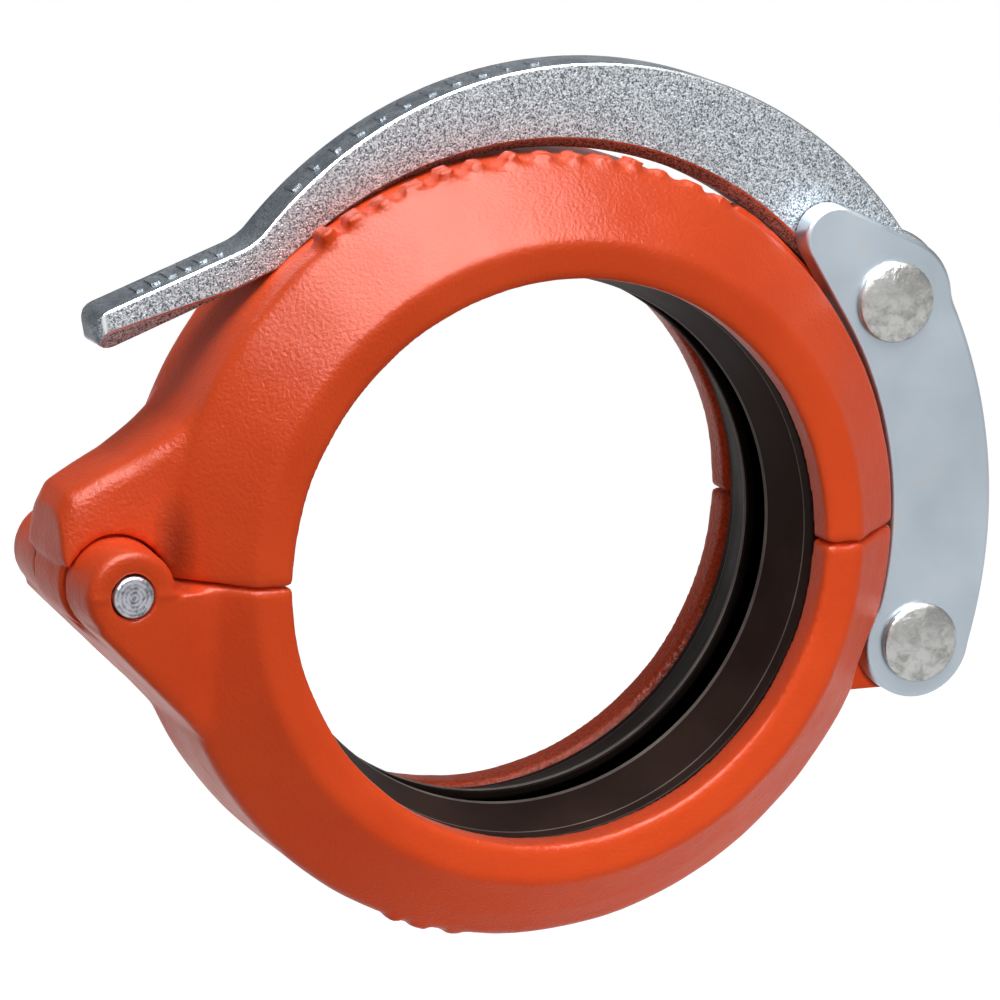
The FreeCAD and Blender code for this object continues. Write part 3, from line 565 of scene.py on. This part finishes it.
def castWave(spot):
    # How far the skin stands out at a place: waves and ripples, a fuller bottom, and flash at the parting line.
    if inPocket(spot):
        return 0
    out = casting["wave"] * noise.noise(spot / casting["waveMm"])
    out += casting["ripple"] * noise.noise(spot / casting["rippleMm"])
    if spot.z < 0:
        share = min(1, max(0, (math.hypot(spot.x, spot.z) - coupling["face"]) / casting["bellyRise"]))
        out += casting["belly"] * share * (spot.z / coupling["ring"]) ** 4
    seam = abs(spot.z) / casting["seamHalf"]
    if seam < 1 and spot.x > coupling["bore"] - 1 and spot.y < -coupling["knuckle"]:
        out += casting["seam"] * (1 - seam) * noise.noise(spot / casting["seamMm"])
    # the front end of the ear, at pin height
    if spot.y < -coupling["earHalf"] + 0.6 and spot.x < -coupling["face"] - 8:
        away = abs(spot.z - coupling["hinge"][1]) / casting["flashHalf"]
        if away < 1:
            out += casting["flash"] * (1 - away) * (0.6 + 0.8 * noise.noise(spot / casting["flashMm"]))
    return out


arm = {
    # x, half width, top of the arm
    "sections": [(-95.6, 7.6, 12.8), (-93.6, 8.6, 16.2), (-88, 9.4, 19.2), (-82, 10.2, 22.1), (-78, 11.0, 24.6),
                 (-75, 11.8, 26.5), (-72, 12.8, 28.8), (-69.5, 13.6, 32.2), (-66, 14.2, 38.5), (-60, 14.6, 46.5)],
    "floor": 3.0, "edge": 3.2, "flare": 3.8,
}


def armBlock(bm):
    # Grows section by section from the end of the arm into the ring.
    sections = arm["sections"]
    x, half, top = sections[0]
    wide = half + arm["flare"]
    face = bm.faces.new([bm.verts.new(p) for p in ((x, -wide, arm["floor"]), (x, wide, arm["floor"]),
                                                   (x, half, top), (x, -half, top))])
    for x, half, top in sections[1:]:
        made = bmesh.ops.extrude_face_region(bm, geom=[face])
        if x > sections[1][0]:
            bmesh.ops.delete(bm, geom=[face], context="FACES_ONLY")
        verts = [item for item in made["geom"] if isinstance(item, bmesh.types.BMVert)]
        face = [item for item in made["geom"] if isinstance(item, bmesh.types.BMFace)][0]
        for vert in verts:
            high = vert.co.z > arm["floor"] + 1
            wide = half if high else half + arm["flare"]
            vert.co = (x, math.copysign(wide, vert.co.y), top if high else arm["floor"])
    ridge = [e for e in bm.edges if all(v.co.z > arm["floor"] + 1 for v in e.verts)
             and e.verts[0].co.y * e.verts[1].co.y > 0]
    roundEdges(bm, ridge, arm["edge"], 5)


bars = {
    "first": 61.0, "pitch": 4.9, "count": 14, "tall": 2.3, "lowFirst": -112.3, "lowCount": 3, "lowTall": 1.1,
    "wide": 3.3, "front": -14.4, "rear": -8.8, "base": 72.0,
    # how much the bars differ from each other
    "wideShare": (0.7, 1.35), "tallShare": (0.55, 1.1), "longer": (-1.2, 0.4), "turn": 0.5, "lean": 0.25,
}


def castBars(bm, first, count, high):
    # Plain raised bars on the outside of the ring, worn, and taller one after another.
    for number in range(count):
        wide = bars["wide"] * random.uniform(*bars["wideShare"])
        tall = high * random.uniform(*bars["tallShare"]) * (0.65 + 0.5 * number / count)
        size = (coupling["ring"] + tall - bars["base"],
                bars["rear"] - bars["front"] + random.uniform(*bars["longer"]), wide)
        angle = first + number * bars["pitch"] + random.uniform(-bars["turn"], bars["turn"])
        turn = Matrix.Rotation(-math.radians(angle), 4, "Y")
        middle = Matrix.Translation((bars["base"] + size[0] / 2, (bars["front"] + bars["rear"]) / 2, 0))
        lean = Matrix.Rotation(random.uniform(-bars["lean"], bars["lean"]), 4, "X")
        bmesh.ops.create_cube(bm, size=1, matrix=turn @ middle @ lean @ Matrix.Diagonal((*size, 1)))


def earBoss(bm, side):
    # The round end of an ear, with draft and a soft rim.
    c = coupling
    far = c["earHalf"] + (c["rearEar"] if side > 0 else 0)
    middle = Matrix.Translation((c["hinge"][0], side * (far + c["slotHalf"]) / 2, c["hinge"][1]))
    bmesh.ops.create_cone(bm, cap_ends=True, segments=96, radius1=c["ear"], radius2=c["ear"] - casting["earDraft"],
                          depth=far - c["slotHalf"], matrix=middle @ Matrix.Rotation(-side * math.pi / 2, 4, "X"))
    roundEdges(bm, [e for e in rimEdges(bm) if abs(e.verts[0].co.y) > far - 1], casting["earRound"], 6)


web = {
    # lower corner and upper corner (x, z), and half width: from the ear down into the ring
    "sections": [((-92.0, -8.0), (-75.3, -1.0), 22.0), ((-85.6, -14.5), (-69.0, -1.0), 21.8),
                 ((-79.3, -21.0), (-66.0, -8.0), 20.7), ((-72.9, -27.5), (-64.0, -18.0), 18.2),
                 ((-66.9, -34.4), (-61.0, -30.0), 14.6)],
    "edge": 1.6,
}


def earWebs(bm):
    # The ears run down into the ring; both webs are drawn as one block, and the slot parts them.
    rings = []
    sections = web["sections"]
    for number, (low, high, half) in enumerate(sections):
        rear = half + coupling["rearEar"] * (1 - number / (len(sections) - 1))
        corners = ((low, -half), (high, -half), (high, rear), (low, rear))
        rings.append([bm.verts.new((x, y, z)) for (x, z), y in corners])
    for first, second in zip(rings, rings[1:]):
        for i in range(4):
            j = (i + 1) % 4
            bm.faces.new((first[i], first[j], second[j], second[i]))
    bm.faces.new(rings[0][::-1])
    bm.faces.new(rings[-1])
    bmesh.ops.recalc_face_normals(bm, faces=bm.faces)
    lower = [bm.edges.get((first[i], second[i])) for first, second in zip(rings, rings[1:]) for i in (0, 3)]
    roundEdges(bm, lower, web["edge"], 4)


latch = {
    # flat shapes between the link plates, as (x, z), and their half width
    "seat": [(68.0, 33.1), (84.6, 20.2), (83.2, 15.9), (75.4, 3.0), (70, 3.0), (66, 20), (62, 33)],
    "lug": [(84.68, -36.33), (86.5, -15.3), (74.9, -8), (69, -9), (60, -34), (65.9, -36.33)],
    "half": 5.5, "lugEnd": 10.6,
    # the saddle follows the throat of the lever, from one angle to another
    "throat": (2.16, -1.62), "saddle": 78.5, "saddleFoot": 72, "saddleSpan": (57, 31), "saddleHalf": 5.3,
    # rooms cut for the end of the lever and for the ends of the link plates
    "leverRoom": 14.05, "leverRoomHalf": 5.9, "linkRoom": 17.2, "linkRoomShift": (1, -5.5),
}


def upperHousing():
    c = coupling
    hinge = c["hinge"]
    rivetSpot = flatPolar((0, 0), c["linkCentre"], c["leverRivet"])
    piece = ringHalf("upper_housing_cast", 1)
    combine(piece, "UNION", armBlock)
    for low, high in ((-c["through"], -c["earRoom"]), (c["earRoom"], c["through"])):
        combine(piece, "DIFFERENCE", disc, hinge, c["ear"] + c["clear"], low, high)
    combine(piece, "UNION", disc, hinge, c["knuckle"], -c["knuckleHalf"], c["knuckleHalf"])
    combine(piece, "UNION", prism, latch["seat"], latch["half"])
    high, low = latch["saddleSpan"]
    saddle = arcPoints(latch["throat"], latch["saddle"], high, low, 14)
    saddle += arcPoints((0, 0), latch["saddleFoot"], low, high, 8)
    combine(piece, "UNION", prism, saddle, latch["saddleHalf"])
    combine(piece, "DIFFERENCE", disc, rivetSpot, latch["leverRoom"], -latch["leverRoomHalf"], latch["leverRoomHalf"])
    combine(piece, "UNION", castBars, bars["first"], bars["count"], bars["tall"])
    combine(piece, "DIFFERENCE", gasketRoom)
    return castSkin(piece)


def lowerHousing():
    c = coupling
    hinge = c["hinge"]
    rivetSpot = flatPolar((0, 0), c["linkCentre"], c["linkRivet"])
    piece = ringHalf("lower_housing_cast", -1)
    right, up = latch["linkRoomShift"]
    combine(piece, "DIFFERENCE", disc, (rivetSpot[0] + right, rivetSpot[1] + up), latch["linkRoom"],
            -c["through"], c["through"], 160)
    combine(piece, "UNION", earWebs)
    for side in (-1, 1):
        combine(piece, "UNION", earBoss, side)
    far, low, high = c["slotReach"]
    combine(piece, "DIFFERENCE", prism, [(hinge[0], high), (far, high), (far, low), (hinge[0], low)], c["slotHalf"])
    combine(piece, "DIFFERENCE", disc, hinge, c["knuckle"] + c["knuckleClear"], -c["slotHalf"], c["slotHalf"])
    combine(piece, "UNION", prism, latch["lug"], latch["half"])
    combine(piece, "UNION", disc, rivetSpot, latch["lugEnd"], -latch["half"], latch["half"])
    combine(piece, "DIFFERENCE", disc, hinge, c["pin"] + c["clear"], -c["through"], c["through"])
    combine(piece, "UNION", castBars, bars["lowFirst"], bars["lowCount"], bars["lowTall"])
    combine(piece, "DIFFERENCE", gasketRoom)
    return castSkin(piece)


takePlace(upperHousing(), "upper", "upper_housing", orange)
takePlace(lowerHousing(), "lower", "lower_housing", orange)
print("housing halves done")


# Gasket

seal = {"back": 68.2, "side": 19.0, "bevel": 2.5, "land": 55.9, "landEdge": 16.4, "tip": 52.7, "tipEdge": 4.8,
        "tipFace": 4.0, "under": 54.0, "inside": 63.8, "root": 12.0}


def gasketRing():
    # A back in the pocket and two lips that lean in towards each other, with moulded edges.
    s = seal
    section = bothWays([(s["back"], s["side"] - s["bevel"]), (s["back"] - s["bevel"], s["side"]),
                        (s["land"] + 0.4, s["side"]), (s["land"], s["landEdge"]), (s["tip"], s["tipEdge"]),
                        (s["tip"] + 0.5, s["tipFace"]), (s["under"] + 0.6, s["tipFace"]),
                        (s["land"] + 3.9, s["root"] - 1.2), (s["inside"], s["root"])])
    bm = bmesh.new()
    rounds = [(s["land"], s["landEdge"], 0.35), (s["tip"], s["tipEdge"], 0.25),
              (s["under"] + 0.6, s["tipFace"], 0.3), (s["land"] + 0.4, s["side"], 0.4)]
    sweptSection(bm, section, rounds, 2 * math.pi)
    return finishPiece("gasket_rubber_ring", bm, 50)


takePlace(gasketRing(), "lower", "gasket", black)
print("gasket done")


# Locking lever

lever = {
    # outer edge and inner edge are arcs; the flat grip leaves them at the bend and at the heel
    "half": 5.5, "back": (10.98, 7.69), "backRadius": 85.8, "throat": (2.16, -1.62), "throatRadius": 78.92,
    "boss": 13.9, "bend": 141.1, "heel": 132.43, "grip": 34.6, "gripSlope": 200.8, "palm": 38.6, "palmSlope": 202.7,
    # rounding: at the bend, the tip and the palm, along the rims, and at the end of the grip
    "rounds": (3.0, 3.4, 3.8), "edge": 0.6, "bossEdge": 0.8, "endRound": 3.0, "block": 220,
    # bevel along the inner edge
    "sideArc": (3.57, 1.80), "sideRadius": 77.6, "sideDepth": 2.6, "sideOver": 0.6,
    # foot of the bevel under the grip: on the side face, and where it leaves the underside
    "bevelFrom": (-55.0, 54.9), "bevelTo": (-87.3, 46.0), "bevelDepth": 2.6,
}


def circlesMeet(first, firstRadius, second, secondRadius, side):
    # Where two circles cross, left (1) or right (-1) of the line between their centres.
    along = Vector(second) - Vector(first)
    share = (firstRadius ** 2 - secondRadius ** 2 + along.length_squared) / (2 * along.length_squared)
    rise = side * math.sqrt(firstRadius ** 2 / along.length_squared - share ** 2)
    spot = Vector(first) + along * share + Vector((-along.y, along.x)) * rise
    return (spot.x, spot.y)


def angleOf(centre, point):
    return math.degrees(math.atan2(point[1] - centre[1], point[0] - centre[0]))


def leverOutline():
    # Round the boss, back along the outer edge, round the grip, and up the inner edge.
    v = lever
    boss = flatPolar((0, 0), coupling["linkCentre"], coupling["leverRivet"])
    outerStart = circlesMeet(v["back"], v["backRadius"], boss, v["boss"], -1)
    innerEnd = circlesMeet(v["throat"], v["throatRadius"], boss, v["boss"], 1)
    bend = flatPolar(v["back"], v["backRadius"], v["bend"])
    heel = flatPolar(v["throat"], v["throatRadius"], v["heel"])
    tip = flatPolar(bend, v["grip"], v["gripSlope"])
    palm = flatPolar(heel, v["palm"], v["palmSlope"])
    outer = arcPoints(v["back"], v["backRadius"], angleOf(v["back"], outerStart), v["bend"], 72)
    inner = arcPoints(v["throat"], v["throatRadius"], v["heel"], angleOf(v["throat"], innerEnd), 66)
    around = arcPoints(boss, v["boss"], angleOf(boss, innerEnd), angleOf(boss, outerStart) + 360, 44)
    return outer + [tip, palm] + inner + around[1:-1], bend, tip, palm


def gripBevel(bm, side, palm):
    # What the bevel under the grip takes off: a wedge that runs out towards the heel.
    v = lever
    first = Vector((v["bevelFrom"][0], side * v["half"], v["bevelFrom"][1]))
    last = Vector((v["bevelTo"][0], side * v["half"], v["bevelTo"][1]))
    foot = Vector((palm[0], side * (v["half"] - v["bevelDepth"]), palm[1]))
    corners = [first, first + (last - first) * 1.4, first + (foot - first) * 1.4]
    away = Vector((0, side * 6, -6))
    verts = [bm.verts.new(spot) for spot in corners + [spot + away for spot in corners]]
    bmesh.ops.convex_hull(bm, input=verts)


def throatBevel(bm, side):
    # What the bevel along the inner edge takes off: a flat cone that leaves the heel alone.
    v = lever
    low, high = v["half"] - v["sideDepth"], v["half"] + v["sideOver"]
    middle = Matrix.Translation((v["sideArc"][0], side * (low + high) / 2, v["sideArc"][1]))
    bmesh.ops.create_cone(bm, cap_ends=True, segments=256, radius1=v["sideRadius"] - v["sideDepth"],
                          radius2=v["sideRadius"] + v["sideOver"], depth=high - low,
                          matrix=middle @ Matrix.Rotation(-side * math.pi / 2, 4, "X"))


marks = {
    # along the grip from the bend in millimetres, and round the back in degrees
    "grip": {"count": 6, "first": 6.5, "pitch": 3.4, "wide": 1.5, "wideShare": (0.7, 1.2), "long": (4.2, 5.4)},
    "back": {"count": 11, "first": 132, "pitch": -3.6, "wide": 1.6, "wideShare": (0.6, 1.3), "long": (3.8, 5.2)},
    "tall": 0.9,
}


def leverMarks(bm, bend):
    # Plain raised bars on the grip, then on the back of the lever.
    v = lever
    for row in (marks["grip"], marks["back"]):
        for number in range(row["count"]):
            step = row["first"] + number * row["pitch"]
            if row is marks["grip"]:
                (x, z), turn = flatPolar(bend, step, v["gripSlope"]), v["gripSlope"] - 180
            else:
                (x, z), turn = flatPolar(v["back"], v["backRadius"], step), step - 90
            place = Matrix.Translation((x, 0, z)) @ Matrix.Rotation(-math.radians(turn), 4, "Y")
            size = (row["wide"] * random.uniform(*row["wideShare"]), random.uniform(*row["long"]), marks["tall"])
            bmesh.ops.create_cube(bm, size=1, matrix=place @ Matrix.Diagonal((*size, 1)))


def gripEnd(bm, tip, palm):
    # A large block with two round upright edges, which trims the end of the grip.
    v = lever
    reach = v["block"] / 2
    bmesh.ops.create_cube(bm, size=1, matrix=Matrix.Diagonal((v["block"], 2 * v["half"] + 0.02, v["block"], 1)))
    upright = [e for e in bm.edges if all(vert.co.x > reach - 1 for vert in e.verts)
               and abs(e.verts[0].co.y - e.verts[1].co.y) < 0.1]
    roundEdges(bm, upright, v["endRound"], 6)
    up = Vector((tip[0] - palm[0], 0, tip[1] - palm[1])).normalized()
    out = Vector((-up.z, 0, up.x))
    turn = Matrix((out, Vector((0, 1, 0)), up)).transposed().to_4x4()
    middle = Matrix.Translation(Vector((palm[0], 0, palm[1])) - out * (reach + 0.1))
    bmesh.ops.transform(bm, matrix=middle @ turn, verts=bm.verts)


def lockingLever():
    v = lever
    points, bend, tip, palm = leverOutline()
    bm = bmesh.new()
    bm.faces.new([bm.verts.new((x, -v["half"], z)) for x, z in points])
    for spot, radius in zip((bend, tip, palm), v["rounds"]):
        roundCorner(bm, [(spot[0], -v["half"], spot[1])], radius)
    thicken(bm, 2 * v["half"])
    roundEdges(bm, rimEdges(bm), v["edge"], 4)
    asMetres(bm)
    piece = makeObject("locking_lever_forged", bm)
    for side in (-1, 1):
        combine(piece, "DIFFERENCE", gripBevel, side, palm)
        combine(piece, "DIFFERENCE", throatBevel, side)
    boss = flatPolar((0, 0), coupling["linkCentre"], coupling["leverRivet"])
    flush = v["half"] - 0.05
    combine(piece, "UNION", roundDisc, boss, v["boss"], -flush, flush, v["bossEdge"])
    combine(piece, "INTERSECT", gripEnd, tip, palm)
    combine(piece, "UNION", leverMarks, bend)
    piece.data.shade_smooth()
    piece.data.set_sharp_from_angle(angle=math.radians(35))
    return evenShade(piece)


takePlace(lockingLever(), "lever", "locking_lever", leverZinc)
print("lever done")


# Link plates

link = {"near": 5.85, "thick": 5.2, "inner": 10.7, "outer": 11.4, "end": 11.6, "corner": 12.9,
        "lobeDrop": 2.8, "lobeAngle": 42.1, "lobe": 6.4, "edge": 1.0, "blend": 3.2}


def tangentPoint(centre, radius, other, otherRadius, hand):
    # Where the line that touches both circles on one hand of the way across touches the first.
    way = Vector(other) - Vector(centre)
    lean = math.degrees(math.acos((radius - otherRadius) / way.length))
    return flatPolar(centre, radius, math.degrees(math.atan2(way.y, way.x)) + hand * lean)


def linkOutline():
    # From the lower end up the outer edge, over the corner and the lobe, and down the inner edge.
    k = link
    origin = (0, 0)
    centre = coupling["linkCentre"]
    top = flatPolar(origin, centre, coupling["leverRivet"])
    low = flatPolar(origin, centre, coupling["linkRivet"])
    lobe = flatPolar(origin, centre - k["lobeDrop"], k["lobeAngle"])
    outer, inner = centre + k["outer"], centre - k["inner"]
    outerHigh = circlesMeet(origin, outer, top, k["corner"], -1)
    outerLow = circlesMeet(origin, outer, low, k["end"], 1)
    innerLow = circlesMeet(origin, inner, low, k["end"], 1)
    cornerEnd = tangentPoint(top, k["corner"], lobe, k["lobe"], -1)
    lobeStart = tangentPoint(lobe, k["lobe"], top, k["corner"], 1)
    lobeEnd = tangentPoint(lobe, k["lobe"], origin, -inner, -1)
    innerHigh = flatPolar(origin, inner, angleOf(lobe, lobeEnd) + 180)
    points = arcPoints(origin, outer, angleOf(origin, outerLow), angleOf(origin, outerHigh), 40)
    points += arcPoints(top, k["corner"], angleOf(top, outerHigh), angleOf(top, cornerEnd), 10)[1:]
    points += arcPoints(lobe, k["lobe"], angleOf(lobe, lobeStart), angleOf(lobe, lobeEnd) % 360, 24)
    points += arcPoints(origin, inner, angleOf(origin, innerHigh), angleOf(origin, innerLow), 40)
    points += arcPoints(low, k["end"], angleOf(low, innerLow), angleOf(low, outerLow) + 360, 36)[1:-1]
    return points, innerLow, outerLow, outerHigh


def linkPlate(name, side):
    # Only the rims that show are rounded.
    k = link
    points, *hollows = linkOutline()
    bm = bmesh.new()
    bm.faces.new([bm.verts.new((x, side * k["near"], z)) for x, z in points])
    for spot in hollows:
        roundCorner(bm, [(spot[0], side * k["near"], spot[1])], k["blend"])
    thicken(bm, side * k["thick"])
    shown = [edge for edge in rimEdges(bm) if abs(edge.verts[0].co.y) > k["near"] + 1]
    roundEdges(bm, shown, k["edge"], 4)
    return evenShade(finishPiece(name, bm, 40))


for name, side, node in (("front_link_plate", -1, "front_link"), ("rear_link_plate", 1, "rear_link")):
    takePlace(linkPlate(name, side), "links", node, plateZinc)
print("link plates done")


# Rivets and pin

def turned(profile, centre):
    # A round piece along the pipe: profile (radius, y) from axis to axis.
    bm = bmesh.new()
    verts = [bm.verts.new((r, y, 0)) for r, y in profile]
    for first, second in zip(verts, verts[1:]):
        bm.edges.new((first, second))
    bmesh.ops.spin(bm, geom=bm.verts[:] + bm.edges[:], cent=(0, 0, 0), axis=(0, 1, 0), angle=2 * math.pi,
                   steps=72, use_merge=True, use_duplicate=False)
    bmesh.ops.remove_doubles(bm, verts=bm.verts, dist=0.001)
    bmesh.ops.translate(bm, vec=(centre[0], 0, centre[1]), verts=bm.verts)
    return bm


rivet = {"head": 8.1, "seat": 11.05, "rim": 1.25, "crown": 2.8, "shank": 4.5, "steps": 10,
         "dent": 0.10, "dentMm": 3.0, "dentFrom": 0.7}


def rivetProfile():
    # Half of the profile, from the crown down to the shank; the other half is its mirror.
    t = rivet
    rise = t["crown"] - t["rim"]
    dome = (t["head"] ** 2 + rise ** 2) / (2 * rise)
    last = math.asin(t["head"] * 0.96 / dome)
    crown = [(dome * math.sin(a), t["seat"] + t["crown"] - dome * (1 - math.cos(a)))
             for a in [last * i / t["steps"] for i in range(t["steps"] + 1)]]
    low = crown[-1][1]
    wall = [(t["head"] - 0.08, low - 0.28), (t["head"], low - 0.6), (t["head"] - 0.1, t["seat"] + 0.25),
            (t["head"] - 0.4, t["seat"]), (t["shank"], t["seat"])]
    return bothWays(crown + wall)


def rivetPiece(name, angle):
    # The struck crowns are slightly uneven.
    bm = turned(rivetProfile(), flatPolar((0, 0), coupling["linkCentre"], angle))
    for vert in bm.verts:
        if abs(vert.co.y) > rivet["seat"] + rivet["dentFrom"]:
            vert.co.y += rivet["dent"] * noise.noise(vert.co / rivet["dentMm"])
    return finishPiece(name, bm, 50)


for node, angle in (("lever_rivet", coupling["leverRivet"]), ("link_rivet", coupling["linkRivet"])):
    takePlace(rivetPiece(node + "_struck", angle), "links", node, rivetZinc)


# flat and round of the peened end: radius or distance in from the side, and how far down
pinEnd = {"proud": 0.35, "flat": (1.2, 0.02), "round": ((0.7, 0.06), (0.25, 0.2), (0.05, 0.5))}


def hingePin():
    # The peened ends stand a little proud of the ears, in worn holes.
    c = coupling
    end = c["earHalf"] + pinEnd["proud"]
    flat, drop = pinEnd["flat"]
    profile = [(0, end), (flat, end - drop)] + [(c["pin"] - inset, end - drop) for inset, drop in pinEnd["round"]]
    rear = [(r, y + c["rearEar"]) for r, y in profile]
    bm = turned(rear + [(r, -y) for r, y in reversed(profile)], c["hinge"])
    return finishPiece("hinge_pin_peened", bm, 50)


takePlace(hingePin(), "lower", "hinge_pin", pinZinc)
print("rivets and pin done")


# Studio

# in metres and watts
studio = {
    "eye": (-0.43409, -1.02047, 0.25977), "lens": 209.34, "sensor": 36.0, "clip": 0.01,
    "right": (0.9225, -0.3856, 0.0190), "up": (0.0686, 0.2123, 0.9748), "back": (-0.3799, -0.8979, 0.2223),
    "floor": "#A4A4A4", "floorGlow": 0.90, "floorDrop": 0.19, "floorSize": 30,
    # brightness of the sky overhead and at the horizon, and the heights between which it changes
    "sky": 0.24, "horizon": 0.54, "skyRise": (0.08, 0.30),
    "key": {"way": (-0.10, -0.26, 0.96), "far": 1.1, "size": 0.6, "power": 7.4},
    "card": {"way": (-0.12, -0.33, 0.94), "far": 1.12, "size": 1.2, "power": 138.0},
    "fill": {"from": (0.02, -0.98, 0.12), "at": (0.03, -0.02, -0.075), "cone": 22, "soft": 0.12, "power": 26.0},
}


def camera():
    data = bpy.data.cameras.new("camera")
    data.lens = studio["lens"]
    data.sensor_width = studio["sensor"]
    data.clip_start = studio["clip"]
    eye = bpy.data.objects.new("camera", data)
    turn = Matrix((studio["right"], studio["up"], studio["back"])).transposed()
    eye.matrix_world = Matrix.Translation(studio["eye"]) @ turn.to_4x4()
    scene.collection.objects.link(eye)
    scene.camera = eye


def aimed(name, data, spot, target):
    lamp = bpy.data.objects.new(name, data)
    lamp.location = spot
    lamp.rotation_mode = "QUATERNION"
    lamp.rotation_quaternion = (Vector(spot) - Vector(target)).to_track_quat("Z", "Y")
    scene.collection.objects.link(lamp)
    return lamp


def softbox(name):
    light = studio[name]
    data = bpy.data.lights.new(name, "AREA")
    data.energy = light["power"]
    data.size = light["size"]
    return aimed(name, data, Vector(light["way"]).normalized() * light["far"], (0, 0, 0))


def lowSpot():
    # A wide soft spot from low in front; it fades towards the top of the object.
    light = studio["fill"]
    data = bpy.data.lights.new("lowSpot", "SPOT")
    data.energy = light["power"]
    data.spot_size = math.radians(light["cone"])
    data.spot_blend = 1.0
    data.shadow_soft_size = light["soft"]
    aimed("lowSpot", data, light["from"], light["at"]).visible_glossy = False


def floorAndSky():
    bm = bmesh.new()
    bmesh.ops.create_grid(bm, x_segments=1, y_segments=1, size=studio["floorSize"])
    # The floor lies low enough for the lever to hang open above it.
    bmesh.ops.translate(bm, vec=(0, 0, cadBox[0].z - studio["floorDrop"]), verts=bm.verts)
    floor = makeObject("floor", bm)
    material, tree = newMaterial("paperFloor")[:2]
    paper = addNode(tree, "BsdfDiffuse", {"Color": linear(studio["floor"])})
    ray = addNode(tree, "LightPath")
    seen = addNode(tree, "Math", links={0: ray.outputs["Is Camera Ray"], 1: ray.outputs["Is Glossy Ray"]},
                   operation="MAXIMUM")
    seen = addNode(tree, "Math", links={0: seen, 1: ray.outputs["Is Transmission Ray"]}, operation="MAXIMUM")
    level = addNode(tree, "Math", {1: studio["floorGlow"]}, {0: seen}, operation="MULTIPLY")
    glow = addNode(tree, "Emission", {"Color": (1, 1, 1, 1)}, {"Strength": level})
    both = addNode(tree, "AddShader", links={0: paper, 1: glow})
    addNode(tree, "OutputMaterial", links={"Surface": both})
    floor.data.materials.append(material)
    world = bpy.data.worlds.new("studio")
    scene.world = world
    world.use_nodes = True
    tree = world.node_tree
    tree.nodes.clear()
    direction = addNode(tree, "TexCoord").outputs["Generated"]
    height = addNode(tree, "SeparateXYZ", links={0: direction}).outputs["Z"]
    low, high = studio["skyRise"]
    level = addNode(tree, "MapRange", {"From Min": low, "From Max": high, "To Min": studio["horizon"],
                                       "To Max": studio["sky"]}, {"Value": height}, interpolation_type="SMOOTHSTEP")
    sky = addNode(tree, "Background", {"Color": (1, 1, 1, 1)}, {"Strength": level})
    addNode(tree, "OutputWorld", links={"Surface": sky})


camera()
softbox("key")
# The card only gives the long highlight on the enamel and the plating.
softbox("card").visible_diffuse = False
lowSpot()
floorAndSky()
scene.view_settings.view_transform = "Standard"
print("studio done")
